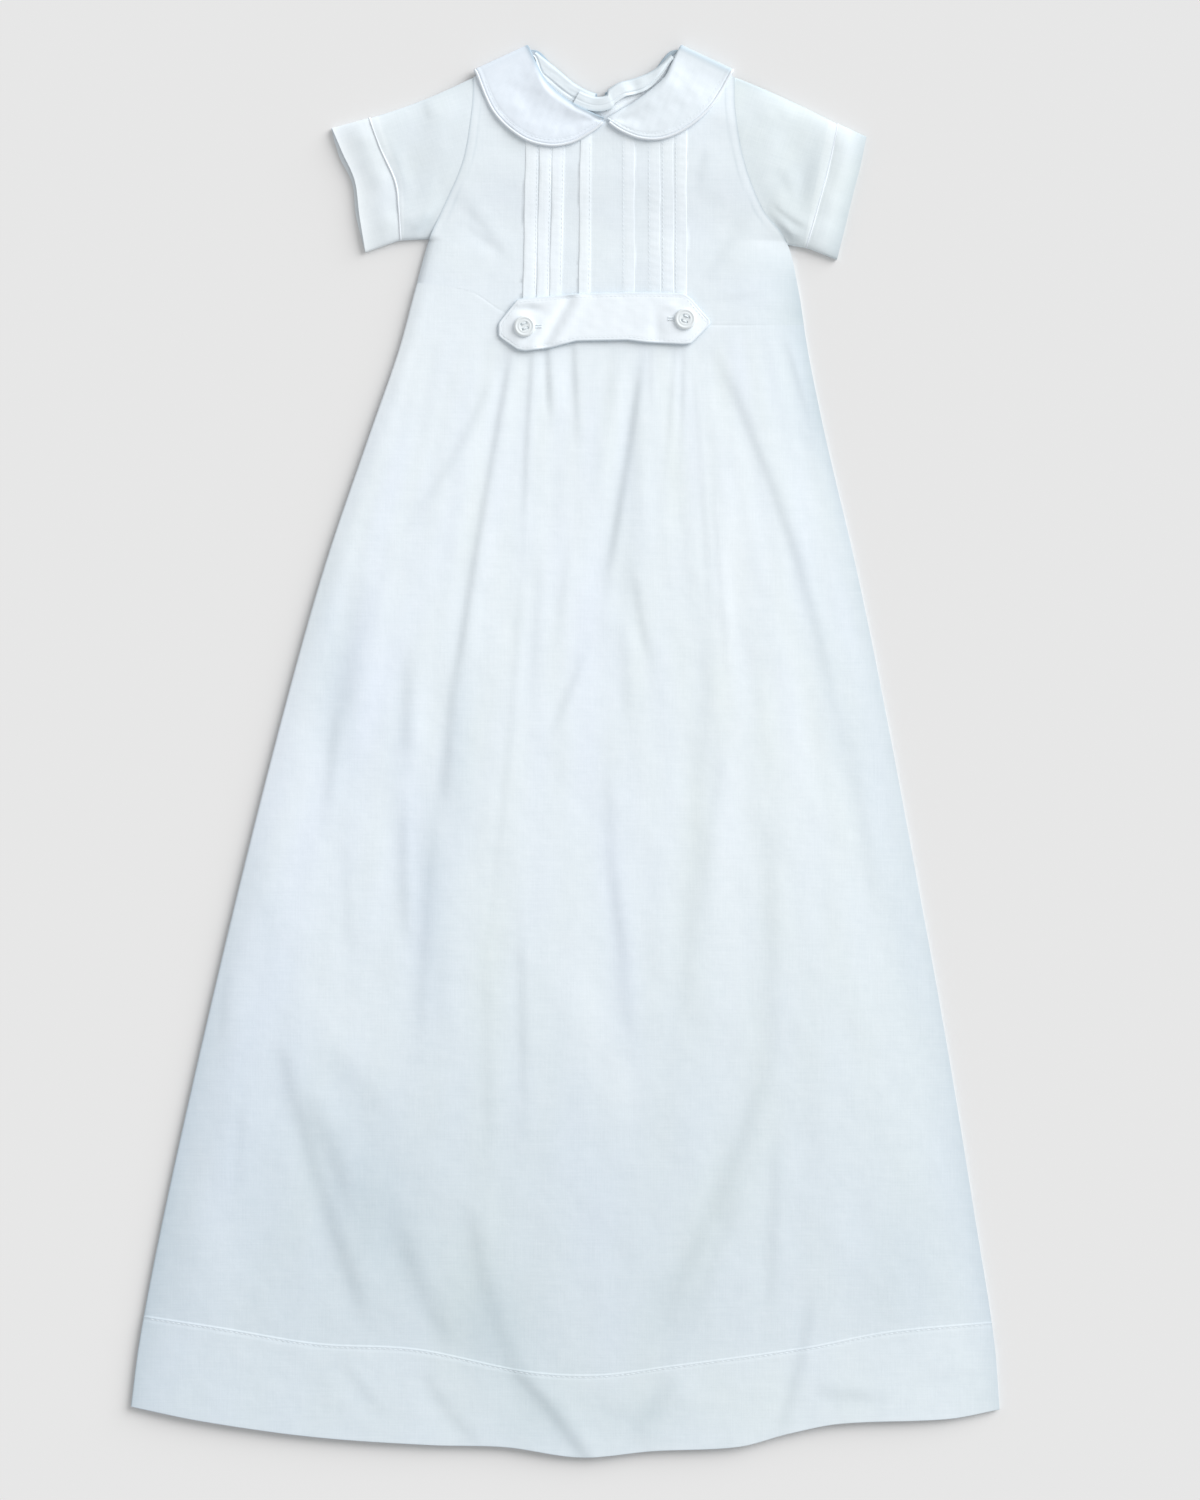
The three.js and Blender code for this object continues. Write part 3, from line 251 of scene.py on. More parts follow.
# Each fold is a soft step along a bowed line from (x1, y1) to (x2, y2): the cloth rises by rise to the
# right of somebody who walks along it, within width, and levels out again over low and high on its
# two sides. thin is how much painted shade greys the cloth on the step, partly for the cloth lifting off the
# layer under it, and fadeIn and fadeOut are the shares of the line in which it swells and dies.
foldColumns = ("x1", "y1", "x2", "y2", "bow", "rise", "width", "low", "high", "thin", "fadeIn", "fadeOut")
skirtFolds = {
    "pleat one": (-30, 250, -66.5, 34, -1.4, 1.02, 3.4, 9, 12, 0.07, 0.12, 0.14),
    "pleat one wide": (-65, 62, -74, -44, 0, 1.2, 6, 12, 10, 0.13, 0.3, 0.45),
    "pleat one end": (-67, 10, -80, -50, 0.5, 0.6, 10, 10, 12, 0.08, 0.3, 0.5),
    "long line": (-76, -28, -87, -206, -2.5, 0.62, 7, 10, 14, 0.08, 0.25, 0.4),
    "beside it": (-97, -26, -94, -126, -1, 0.95, 7, 12, 5, 0.11, 0.25, 0.4),
    "lower trail": (-76, -108, -71, -182, -1, 0.5, 12, 10, 10, 0.06, 0.4, 0.5),
    "pleat two": (-18.5, 252, -25.5, 92, -1.6, 0.8, 2.6, 8, 9, 0.06, 0.1, 0.65),
    "slender left": (-25, 126, -48, -135, 2.0, 0.27, 3.5, 7, 9, 0.02, 0.2, 0.3),
    "slender left low": (-47, -96, -44, -268, -1, 0.33, 6, 8, 8, 0.045, 0.3, 0.4),
    "slender right": (-28, -76, -24, -256, 0.5, 0.5, 4, 8, 10, 0.055, 0.35, 0.5),
    "pleat three": (-10.4, 252, -7.4, 188, -0.6, 1.25, 2.4, 5, 7, 0.1, 0.1, 0.6),
    "pleat four": (5.5, 252, 9, 172, -0.8, 0.75, 2.4, 8, 12, 0.06, 0.1, 0.65),
    "beside four": (31, 244, 14, 138, 0.5, 0.5, 9, 8, 8, 0.04, 0.2, 0.5),
    "pleat five": (52, 248, 51, 196, 0, 0.3, 2.4, 6, 6, 0.02, 0.1, 0.6),
    "pleat six": (66, 248, 58, 148, 0.8, 0.42, 3, 5, 5, 0.03, 0.1, 0.6),
    "pleat seven": (71.5, 248, 68.4, 158, 0.3, 0.4, 2.2, 7, 6, 0.02, 0.1, 0.6),
    "pleat eight": (75, 248, 87, 68, 1.4, 0.27, 3, 8, 6, 0.02, 0.2, 0.3),
    "beside eight": (86, 190, 100, 16, 0, 0.27, 3, 6, 6, 0.02, 0.4, 0.4),
    "middle fold": (48, 248, 22.5, 90, 1.2, 1.4, 4, 10, 16, 0.17, 0.26, 0.28),
    "right of middle": (43, 214, 33, 52, 1.5, 0.8, 14, 6, 16, 0.09, 0.3, 0.4),
    "fork": (14, 64, -10, 8, 0.6, 0.78, 4, 8, 8, 0.065, 0.35, 0.35),
    "centre left": (4, 134, -6, 58, 0, 0.5, 6, 8, 8, 0.04, 0.3, 0.4),
    "centre left two": (-14, 126, -21, 14, 0, 0.45, 7, 8, 8, 0.035, 0.3, 0.4),
    "tip side": (31, 86, 38, 10, 1, 0.56, 7, 16, 8, 0.05, 0.3, 0.3),
    "short dark": (40.5, 118, 54, 44, -2.2, 0.7, 4.2, 7, 9, 0.09, 0.4, 0.35),
    "long shade": (88, 112, 66, -210, 3, 0.55, 11, 12, 16, 0.06, 0.2, 0.3),
    "beside shade": (96, 20, 78, -120, 0, 0.4, 7, 9, 9, 0.04, 0.3, 0.4),
    "centre line": (24, 14, 43, -206, -2.5, 0.6, 7, 16, 9, 0.06, 0.25, 0.3),
    "beside centre": (22, -40, 42, -150, -1, 0.3, 5, 7, 7, 0.03, 0.3, 0.4),
    "right soft": (122, -12, 124, -206, 1, 0.5, 10, 14, 14, 0.045, 0.3, 0.2),
    "right fold": (84, 252, 174, -40, 12, 0.86, 5, 14, 14, 0.10, 0.18, 0.7),
    "under right fold": (168, 34, 191, -132, 0, 0.5, 9, 12, 10, 0.05, 0.3, 0.4),
    "waist right": (129, 254, 152, 176, 1, 0.43, 3, 6, 6, 0.03, 0.3, 0.5),
    "left crease": (-38, 238, -115, 110, 7.2, 0.8, 5.0, 12, 10, 0.06, 0.25, 0.5),
    "left patch": (-116, 112, -137, -6, -1, 1.2, 13, 12, 16, 0.11, 0.3, 0.4),
    "left patch line": (-135, 44, -145, -58, 0, 0.75, 6, 12, 8, 0.07, 0.4, 0.4),
    "left patch low": (-131, -44, -130, -130, 0, 0.4, 6, 8, 8, 0.04, 0.4, 0.4),
    "short hollow": (-92, 76, -94, -14, -2, 0.95, 9, 10, 8, 0.09, 0.4, 0.3),
    "lower right": (124, -176, 50, -352, 6.5, 0.95, 9, 16, 22, 0.11, 0.25, 0.3),
    "lower right two": (108, -246, 70, -352, 3, 0.5, 9, 10, 12, 0.06, 0.3, 0.3),
    "right line": (126, -212, 121, -356, 1, 0.46, 6, 8, 10, 0.05, 0.3, 0.3),
    "lower left": (-172, -170, -113, -356, -3, 1.0, 7, 14, 20, 0.11, 0.14, 0.2),
    "lower left two": (-156, -200, -122, -292, 1, 0.9, 9, 14, 22, 0.10, 0.25, 0.35),
    "soft scarp": (-150, -172, -94, -230, -1, 0.62, 13, 22, 26, 0.08, 0.3, 0.5),
    "lower second": (-102, -274, -64, -362, -4, 0.85, 9, 16, 16, 0.1, 0.3, 0.25),
    "lower third": (-58, -258, -27, -372, -6, 0.62, 8, 14, 12, 0.08, 0.3, 0.15),
    "hem fold": (-41, -361, 15, -428, 2.5, 1.25, 6, 16, 12, 0.13, 0.25, 0.02),
    "hem crease one": (-138, -357, -97, -407, -3, 0.6, 6, 8, 12, 0.05, 0.4, 0.5),
    "hem crease two": (-89, -365, -48, -419, -3, 0.78, 6, 10, 14, 0.05, 0.3, 0.2),
    "hem notch": (148.5, -321, 125, -416, 3.5, 0.65, 5, 8, 12, 0.09, 0.25, 0.2),
    "hem shelf": (146, -383, 196, -386, -2, 0.81, 8, 8, 14, 0.10, 0.3, 0.4),
    "hem shelf two": (208, -378, 252, -370, 0, 0.43, 7, 7, 10, 0.04, 0.4, 0.4),
    "hem swell": (67, -365, 35, -415, 4, 0.74, 9, 12, 20, 0.10, 0.3, 0.3),
    "left rim": (-201, -112, -207, -186, 0, 0.42, 4, 6, 8, 0.03, 0.4, 0.4),
    "left rim two": (-192, -196, -196, -272, 0, 0.3, 4, 6, 8, 0.03, 0.4, 0.4),
}
bodiceFolds = {
    "left slant": (-69, 338, -30, 290, 1, 0.7, 6, 8, 8, 0.05, 0.4, 0.4),
    "left slant low": (-66, 320, -36, 298, 0, 0.5, 5, 6, 6, 0.03, 0.4, 0.4),
    "right slant": (118, 328, 82, 284, 1, 0.8, 8, 8, 9, 0.05, 0.4, 0.4),
    "right slant low": (104, 310, 80, 278, 0, 0.6, 6, 6, 7, 0.03, 0.4, 0.4),
    "collar side": (86, 366, 79, 330, 0, 0.7, 6, 7, 8, 0.06, 0.4, 0.5),
    "armhole left": (-52, 380, -68, 326, 0, 0.5, 7, 7, 6, 0.04, 0.3, 0.4),
    "armhole right": (106, 376, 120, 326, 0, 0.5, 7, 6, 7, 0.04, 0.3, 0.4),
    "tip right": (88, 270, 122, 276, 0, 0.5, 5, 5, 5, 0.02, 0.4, 0.5),
}


# Soft patches of painted light and shade, partly for where the cloth lies closer to the layer under it or
# further off: the middle, half length and half width, the turn of the long axis from Y in degrees,
# anticlockwise, and how much whiter it is painted.
patchColumns = ("x", "y", "long", "wide", "turn", "light")
paintedSkirtPatches = {
    "right band top": (100, 110, 60, 11, -3, 0.16),
    "right band": (100, -60, 140, 11, 0, 0.10),
    "right of band": (138, 5, 60, 14, 0, 0.08),
    "beside pleat eight": (82, 172, 40, 7, 3, 0.08),
    "upper middle": (0, 110, 70, 14, 0, 0.08),
    "beside pleat one": (-42, 110, 90, 7, 9, 0.07),
    "waist left": (-98, 235, 24, 12, 0, 0.12),
    "left patch side": (-138, 40, 70, 14, 4, -0.30),
    "under short hollow": (-100, -5, 45, 12, 0, -0.16),
    "pleat foot": (-61, 0, 60, 9, 0, -0.30),
    "line side": (-80, -80, 52, 13, 0, -0.33),
    "left margin": (-178, -100, 60, 10, 12, -0.12),
    "right margin": (183, -20, 90, 12, 12, -0.14),
    "right margin low": (203, -120, 50, 10, 10, -0.12),
    "left tongue": (-132, -160, 50, 25, 41, 0.14),
    "middle tongue": (16, -160, 58, 14, 17, 0.17),
    "tongue tip": (36, -200, 14, 11, 0, 0.14),
    "lower left shade": (-112, -275, 52, 25, 17, -0.27),
    "hem valley": (-45, -345, 40, 26, 25, -0.32),
    "hem valley foot": (-14, -398, 26, 30, 0, -0.24),
    "hem middle": (45, -398, 16, 30, 0, -0.22),
    "low middle": (62, -335, 30, 22, 0, -0.14),
    "low right": (203, -312, 45, 24, 0, -0.18),
    "left low": (-211, -285, 60, 14, 12, 0.15),
    "inside right edge": (153, 60, 95, 10, 11, -0.17),
    "left waist rim": (-103, 235, 40, 4, -17, 0.25),
}


skirtTints = {
    "all": (0, -60, 600, 600, 0, 0.2),
    "left of middle": (-45, -140, 120, 13, 0, 0.65),
    "long shade": (78, -70, 150, 14, -6, 0.65),
    "right soft": (120, -130, 130, 11, 0, 0.5),
    "lower right": (92, -275, 70, 18, -24, 0.8),
    "low middle": (-50, -320, 55, 40, 20, 0.7),
    "hem": (60, -392, 25, 150, 0, 0.6),
    "right side": (170, -120, 220, 36, 12, 0.4),
    "middle upper": (62, 130, 80, 14, 0, 0.5),
    "left side": (-185, -150, 220, 34, -14, -0.9),
    "blue streak": (-88, -80, 70, 12, 3, -1.1),
    "centre line": (32, -100, 95, 9, 8, -0.9),
    "left patch": (-112, 50, 60, 20, -8, -0.8),
    "blue low": (12, -290, 60, 20, 0, -0.5),
    "blue top": (10, 60, 60, 14, 0, -0.8),
}


def patchSum(x, y, patches):
    # light * exp(-(a / long)^2 - (b / wide)^2), a and b along and across each patch
    total = np.zeros(np.broadcast(x, y).shape)
    for row in patches.values():
        f = dict(zip(patchColumns, row))
        turn = np.radians(f["turn"])
        along = (y - f["y"]) * np.cos(turn) - (x - f["x"]) * np.sin(turn)
        across = (x - f["x"]) * np.cos(turn) + (y - f["y"]) * np.sin(turn)
        total += f["light"] * bell(along, f["long"]) * bell(across, f["wide"])
    return total


def foldSum(x, y, folds):
    # height of all steps, rise / 2 * tanh(2 d / width) * exp(-(d / side)^2), d from the bowed line,
    # and the painted shade they put on the cloth, thin * exp(-(d / (0.7 width + 1.5))^2)
    height = np.zeros(np.broadcast(x, y).shape)
    paintedCreaseShade = np.zeros(height.shape)
    for row in folds.values():
        f = dict(zip(foldColumns, row))
        length = np.hypot(f["x2"] - f["x1"], f["y2"] - f["y1"])
        alongX = (f["x2"] - f["x1"]) / length
        alongY = (f["y2"] - f["y1"]) / length
        t = ((x - f["x1"]) * alongX + (y - f["y1"]) * alongY) / length
        inside = np.clip(t, 0, 1)
        d = (y - f["y1"]) * alongX - (x - f["x1"]) * alongY - 4 * f["bow"] * inside * (1 - inside)
        side = np.where(d < 0, f["low"], f["high"])
        fade = ease(t / f["fadeIn"]) * ease((1 - t) / f["fadeOut"])
        height += fade * f["rise"] / 2 * np.tanh(2 * d / f["width"]) * bell(d, side)
        paintedCreaseShade += fade * f["thin"] * bell(d, 0.7 * f["width"] + 1.5)
    return height, paintedCreaseShade


fan = {"x": 24, "y": 255, "widen": 0.0021, "across": 2.0, "along": 0.22, "size": 27}
creases = {"broad": 0.16, "broadSize": 46, "fine": 0.07, "fineSize": 17, "fan": 0.13}
# depths of the painted shade towards the sides and beside the waist
rim = {"rightTop": 0.62, "right": 0.42, "left": 0.34, "waist": 0.26}


def streaks(x, y, seed):
    # crumple squeezed across and drawn out along the fan from the waist, strongest below the tab
    spreadX = (x - fan["x"]) / (1.0 + (fan["y"] - np.minimum(y, fan["y"])) * fan["widen"])
    down = ease((262 - y) / 30) * mix(1.0, 0.55, ease((60 - y) / 260))
    return down * crumple(spreadX * fan["across"], y * fan["along"], fan["size"], seed)


def intoSleeve(y):
    # how far the panel runs on beyond its side, above the underarm
    return np.maximum(0, y - body["underarm"]) * sideRound["sleeveRun"]


def sideRise(x, y):
    # parabola 1 - (1 - t)^2 up from each side seam; the left side first steps up a share of it
    rise = 1.0
    for distance, side in ((x - leftEdge(y), "left"), (rightEdge(y) - x, "right")):
        distance = distance + intoSleeve(y)
        width = curveThrough(sideRound["y"], sideRound[side], y)
        slow = 1 - (1 - np.clip(distance / width, 0, 1)) ** 2
        first = curveThrough(sideRound["y"], sideRound["atOnce"], y) if side == "left" else 0
        rise = rise * (first * dipRound(distance, sideRound["step"]) + (1 - first) * slow)
    return rise


def sideDistance(x, y):
    # distance in from the nearer side seam
    return np.minimum(x - leftEdge(y), rightEdge(y) - x) + intoSleeve(y)


def paintedRimShade(x, y):
    # painted shade towards the cloth's sides: exp(-d / 9) at the right, exp(-d / 8) low down at the left,
    # and a wide bell beside the waist
    toRight = rightEdge(y) - x
    toLeft = x - leftEdge(y)
    right = mix(rim["rightTop"], rim["right"], ease((160 - y) / 200)) * ease((310 - y) / 50)
    left = rim["left"] * ease((0 - y) / 120)
    waist = rim["waist"] * ease((305 - y) / 20) * ease((y - 150) / 60)
    sides = right * np.exp(-np.maximum(toRight, 0) / 9) + left * np.exp(-np.maximum(toLeft, 0) / 8)
    return sides + waist * bell(toRight, 28)


def frontGap(x, y):
    # how far the front stands off the back: dome and folds, rounded down at the seams
    stand = mix(cloth["domeSkirt"], cloth["domeBodice"], ease((y - 200) / 80))
    stand = mix(stand, cloth["domeHem"], ease((-280 - y) / 120)) * sideRise(x, y)
    folds = foldSum(x, y, skirtFolds)[0] + foldSum(x, y, bodiceFolds)[0]
    folds = folds + creases["broad"] * crumple(x, y, creases["broadSize"], 1)
    folds = folds + creases["fine"] * crumple(x, y, creases["fineSize"], 2)
    folds = folds + creases["fan"] * streaks(x, y, 5)
    most = mix(cloth["mostFold"], cloth["mostGap"], ease((y - 196) / 40))
    gap = softLimit(stand + folds * dipRound(sideDistance(x, y), sideRound["folds"]), 0.0, most)
    covers = ease((y - lap["from"]) / lap["over"]) * lapLift(x) * ease((x - lap["start"] + 9) / 7)
    settled = ease(underShoulder(x, y) / neck["settle"])
    settled = settled * ease((frontNeckY(x) - y + 4) / neck["settleFront"])
    return np.maximum(gap * settled, covers)


def stack(share):
    # two thin layers at a side seam, and the frame's two walls further in
    return mix(2 * cloth["thin"] + 0.1, 2 * cloth["wall"] + cloth["seam"], share)


def frontTop(x, y):
    # top of the front: what lies under it, the layers and the gap between them
    return floorLift(x, y) + stack(sideRise(x, y)) + frontGap(x, y)


# Meshes
sharpFrom = np.radians(52)  # faces that meet at a wider turn than this keep a crisp edge
upwards = np.array([0.0, 0.0, 1.0])


def facing(points, faces):
    # six times the volume inside the faces, the sum of a . (b x c) over their triangles
    a = points[faces[:, 0]]
    pairs = [(points[faces[:, k]], points[faces[:, k + 1]]) for k in range(1, faces.shape[1] - 1)]
    return sum((a * np.cross(b, c)).sum() for b, c in pairs)


def setAttribute(mesh, name, values):
    # one number for each point, which the finishes read
    layer = mesh.attributes.new(name, "FLOAT", "POINT")
    layer.data.foreach_set("value", np.ravel(values))


def makeMesh(name, node, points, groups, material, pliesAndPaintedLight=None, tint=None, grain=0.0):
    # one piece from its points in mm and its groups of quads or triangles, turned outwards; its
    # whiteness, from its layers and from painted light and shade, and its tint are attributes, and its
    # UV map follows the threads, turned by grain
    mesh = bpy.data.meshes.new(name)
    if sum(facing(points, faces) for faces in groups) < 0:
        groups = [faces[:, ::-1] for faces in groups]
    mesh.from_pydata((points * 0.001).tolist(), [], [face for faces in groups for face in faces.tolist()])
    mesh.polygons.foreach_set("use_smooth", np.full(len(mesh.polygons), True))
    setAttribute(mesh, "pliesAndPaintedLight", np.ones(len(points)) if pliesAndPaintedLight is None else pliesAndPaintedLight)
    if tint is not None:
        setAttribute(mesh, "tint", tint)
        turn = np.array([[np.cos(grain), -np.sin(grain)], [np.sin(grain), np.cos(grain)]])
        corners = np.concatenate([faces.ravel() for faces in groups])
        threads = mesh.uv_layers.new(name="threads")
        threads.data.foreach_set("uv", (points[:, :2] @ turn * 0.001)[corners].ravel())
    mesh.materials.append(material)
    mesh.validate()
    mesh.set_sharp_from_angle(angle=sharpFrom)
    piece = bpy.data.objects.new(name, mesh)
    bpy.context.collection.objects.link(piece)
    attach(piece, "root")
    if node:
        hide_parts(node)
    return piece


def gridFaces(columns, rows, start=0, ring=False):
    # quads between neighbouring columns and rows of a grid that is stored column by column
    i = np.arange(columns if ring else columns - 1)[:, None]
    j = np.arange(rows - 1)[None, :]
    ahead = (i + 1) % columns
    corners = [i * rows + j, ahead * rows + j, ahead * rows + j + 1, i * rows + j + 1]
    return np.stack([np.broadcast_to(k, (i.size, j.size)).ravel() for k in corners], axis=1) + start


def stripFaces(a, b, ring=False):
    # quads that join two lines of as many points
    if ring:
        a = np.append(a, a[0])
        b = np.append(b, b[0])
    return np.stack([a[:-1], a[1:], b[1:], b[:-1]], axis=1)


def makeShell(name, node, outer, inner, material, pliesAndPaintedLight=1.0, tint=0.0, grain=0.0, ring=False):
    # closed wall between an outer and an inner grid, both shaped columns x rows x 3
    columns, rows = outer.shape[:2]
    size = columns * rows
    index = np.arange(size).reshape(columns, rows)
    faces = [gridFaces(columns, rows, 0, ring), gridFaces(columns, rows, size, ring)[:, ::-1]]
    faces.append(stripFaces(index[:, 0], index[:, 0] + size, ring)[:, ::-1])
    faces.append(stripFaces(index[:, -1], index[:, -1] + size, ring))
    if not ring:
        faces.append(stripFaces(index[0], index[0] + size))
        faces.append(stripFaces(index[-1], index[-1] + size)[:, ::-1])
    points = np.concatenate([outer.reshape(-1, 3), inner.reshape(-1, 3)])
    pliesAndPaintedLight, tint = (np.tile(np.broadcast_to(v, (columns, rows)).ravel(), 2) for v in (pliesAndPaintedLight, tint))
    return makeMesh(name, node, points, faces, material, pliesAndPaintedLight, tint, grain)


def makeCord(name, node, path, up, radius, material, sides=10):
    # round section carried along a path, its first point turned towards up, with pointed ends
    tangent = unit(np.gradient(path, axis=0))
    start = unit(up - (up * tangent).sum(1, keepdims=True) * tangent)
    aside = np.cross(tangent, start)
    turn = (np.arange(sides) * 2 * np.pi / sides)[:, None, None]
    skin = path + radius * (start * np.cos(turn) + aside * np.sin(turn))
    tips = np.stack([path[0] - tangent[0] * radius * 0.4, path[-1] + tangent[-1] * radius * 0.4])
    head = np.arange(sides) * len(path)
    tail = head + len(path) - 1
    tip = np.full(sides, sides * len(path))
    caps = [np.stack([np.roll(head, -1), head, tip], axis=1)]
    caps.append(np.stack([tail, np.roll(tail, -1), tip + 1], axis=1))
    points = np.concatenate([skin.reshape(-1, 3), tips])
    return makeMesh(name, node, points, [gridFaces(sides, len(path), ring=True)] + caps, material)


# Finishes
def addNode(tree, kind, inputs, **settings):
    # a shader node with its settings, then its inputs: values, or outputs of other nodes
    node = tree.nodes.new("ShaderNode" + kind)
    for key, value in settings.items():
        setattr(node, key, value)
    for label, value in inputs.items():
        if isinstance(value, bpy.types.NodeSocket):
            tree.links.new(value, node.inputs[label])
        else:
            node.inputs[label].default_value = value
    return node


def maths(tree, operation, a, b=0.0):
    # a sum, product or the like of a and b
    return addNode(tree, "Math", {0: a, 1: b}, operation=operation).outputs[0]


def noise(tree, vector, scale, detail, rough, stretch=(1, 1, 1)):
    # cloudy noise in a stretched space
    place = addNode(tree, "Mapping", {"Vector": vector, "Scale": stretch}).outputs[0]
    inputs = {"Vector": place, "Scale": scale, "Detail": detail, "Roughness": rough}
    return addNode(tree, "TexNoise", inputs).outputs["Fac"]


def mixColour(tree, factor, a, b, **settings):
    # from colour a to colour b, also beyond them
    inputs = {"Factor": factor, "A": a, "B": b}
    return addNode(tree, "Mix", inputs, data_type="RGBA", clamp_factor=False, **settings).outputs["Result"]


lawn = {
    "sheer": (0.622, 0.708, 0.772, 1),    # one layer, with the grey surface behind it
    "full": (0.885, 0.948, 1.0, 1),       # several layers
    "greener": (1.001, 1.001, 0.970, 1),  # what a tint of 1 multiplies the colour by
    "roughness": 0.88,
    "sheen": 0.12,
    "weavePitch": 0.00046,
    "weaveBump": 0.00006,
    "mottleBump": 0.0002,
    "mottleTone": 0.22,
}


def buildWeaveGroup():
    # plain weave: a bump at each crossing, |sin(pi u / pitch) * sin(pi v / pitch)|, and thick threads
    group = bpy.data.node_groups.new("plainWeave", "ShaderNodeTree")
    for label, kind in (("Vector", "Vector"), ("Pitch", "Float")):
        group.interface.new_socket(name=label, in_out="INPUT", socket_type="NodeSocket" + kind)
    for label in ("Crossings", "Slubs", "Mottle"):
        group.interface.new_socket(name=label, in_out="OUTPUT", socket_type="NodeSocketFloat")
    given = group.nodes.new("NodeGroupInput").outputs
    split = addNode(group, "SeparateXYZ", {0: given["Vector"]}).outputs
    pace = maths(group, "DIVIDE", np.pi, given["Pitch"])
    waves = [maths(group, "SINE", maths(group, "MULTIPLY", split[axis], pace)) for axis in ("X", "Y")]
    warp = noise(group, given["Vector"], 1.0, 2.0, 0.6, (1500, 45, 1))
    weft = noise(group, given["Vector"], 1.0, 2.0, 0.6, (38, 1300, 1))
    results = {
        "Crossings": maths(group, "ABSOLUTE", maths(group, "MULTIPLY", *waves)),
        "Slubs": maths(group, "MULTIPLY", maths(group, "ADD", warp, weft), 0.5),
        "Mottle": noise(group, given["Vector"], 120.0, 3.0, 0.55),
    }
    output = group.nodes.new("NodeGroupOutput")
    for label, value in results.items():
        group.links.new(value, output.inputs[label])
    return group


weaveGroup = buildWeaveGroup()


def clothMaterial(name, toneSpread):
    # whiteness from the layers and the painted light and shade in a point attribute, uneven with the
    # threads, and a tint from bluish, -1, to greenish, 1
    material = bpy.data.materials.new(name)
    material.use_nodes = True
    tree = material.node_tree
    tree.nodes.clear()
    threads = addNode(tree, "UVMap", {}, uv_map="threads").outputs["UV"]
    weave = addNode(tree, "Group", {}, node_tree=weaveGroup)
    weave.inputs["Pitch"].default_value = lawn["weavePitch"]
    tree.links.new(threads, weave.inputs["Vector"])
    crossings, slubs, mottle = (weave.outputs[label] for label in ("Crossings", "Slubs", "Mottle"))
    pliesAndPaintedLight = addNode(tree, "Attribute", {}, attribute_name="pliesAndPaintedLight").outputs["Fac"]
    tint = addNode(tree, "Attribute", {}, attribute_name="tint").outputs["Fac"]
    slubTone = maths(tree, "MULTIPLY", maths(tree, "SUBTRACT", slubs, 0.5), toneSpread)
    mottleTone = maths(tree, "MULTIPLY", maths(tree, "SUBTRACT", mottle, 0.5), lawn["mottleTone"])
    amount = maths(tree, "ADD", pliesAndPaintedLight, maths(tree, "ADD", slubTone, mottleTone))
    colour = mixColour(tree, amount, lawn["sheer"], lawn["full"])
    height = maths(tree, "ADD", crossings, slubs)
    fine = addNode(tree, "Bump", {"Height": height, "Distance": lawn["weaveBump"], "Strength": 0.5})
    soft = addNode(tree, "Bump", {
        "Height": mottle,
        "Distance": lawn["mottleBump"],
        "Strength": 0.6,
        "Normal": fine.outputs["Normal"],
    })
    shader = addNode(tree, "BsdfPrincipled", {
        "Base Color": mixColour(tree, tint, colour, lawn["greener"], blend_type="MULTIPLY"),
        "Roughness": lawn["roughness"],
        "Sheen Weight": lawn["sheen"],
        "Sheen Roughness": 0.5,
        "Specular IOR Level": 0.25,
        "Normal": soft.outputs["Normal"],
    })
    addNode(tree, "OutputMaterial", {"Surface": shader.outputs[0]})
    return material


def plainMaterial(name, colour, roughness, coat=0.0, fibreScale=0.0, fibreBump=0.0):
    # a cloudy colour, from 0.93 of it up to it, and where fibreBump is given a fibrous relief
    material = bpy.data.materials.new(name)
    material.use_nodes = True
    tree = material.node_tree
    shader = tree.nodes["Principled BSDF"]
    shader.inputs["Roughness"].default_value = roughness
    shader.inputs["Coat Weight"].default_value = coat
    place = addNode(tree, "TexCoord", {}).outputs["Object"]
    darker = tuple(0.93 * c for c in colour[:3]) + (1,)
    cloudy = mixColour(tree, noise(tree, place, 260.0, 3.0, 0.6), darker, colour)
    tree.links.new(cloudy, shader.inputs["Base Color"])
    if fibreBump:
        fibre = noise(tree, place, fibreScale, 2.0, 0.6)
        relief = addNode(tree, "Bump", {"Height": fibre, "Distance": fibreBump})
        tree.links.new(relief.outputs["Normal"], shader.inputs["Normal"])
    return material


cotton = clothMaterial("cottonLawn", 0.5)
crispCotton = clothMaterial("cottonLawnPressed", 0.4)
pipingCotton = plainMaterial("pipingCotton", (0.82, 0.875, 0.93, 1), 0.85, 0.0, 2200, 0.00004)
sewingThread = plainMaterial("sewingThread", (0.86, 0.92, 0.96, 1), 0.8, 0.0, 5000, 0.00003)
pearl = plainMaterial("pearlButton", (0.83, 0.885, 0.91, 1), 0.4, 0.15)
print("gown: finishes ready")

# Skirt
skirt = {
    "rows": [10, 150, 8, 40, 6],  # below the waist, to the hem stitching, over it, the hem, its edge
    "columnKnots": [0, 0.0012, 0.005, 0.995, 0.9988, 1],
    "columns": [2, 2, 194, 2, 2],
    "backRows": [2, 70, 3, 14, 5],
    "backColumns": 70,
    "waistStrip": 5.0,
    "stitchStrip": 1.2,           # half the width of the rows over the stitching
    "hemEdge": 0.4,
    "pliesTop": 0.76,
    "pliesKnee": 0.68,
    # whiteness low down at the left and the right, the left one lowered by painted shade
    "lowLeftPliesAndShade": 0.10,
    "lowRightPliesAndShade": 0.42,
    "pliesHem": 0.09,
    "pucker": 0.16,
    "stitchDip": 0.25,
}


def skirtPliesAndShade(u, y):
    # how close and white the cloth looks: even down to the middle, then thinner, most so at the left; the
    # greying is partly painted shade, a falloff of the light towards the lower left
    low = mix(skirt["lowLeftPliesAndShade"], skirt["lowRightPliesAndShade"], u)
    upper = mix(skirt["pliesTop"], skirt["pliesKnee"], ease((250 - y) / 310))
    return mix(upper, low, ease((-10 - y) / 290))


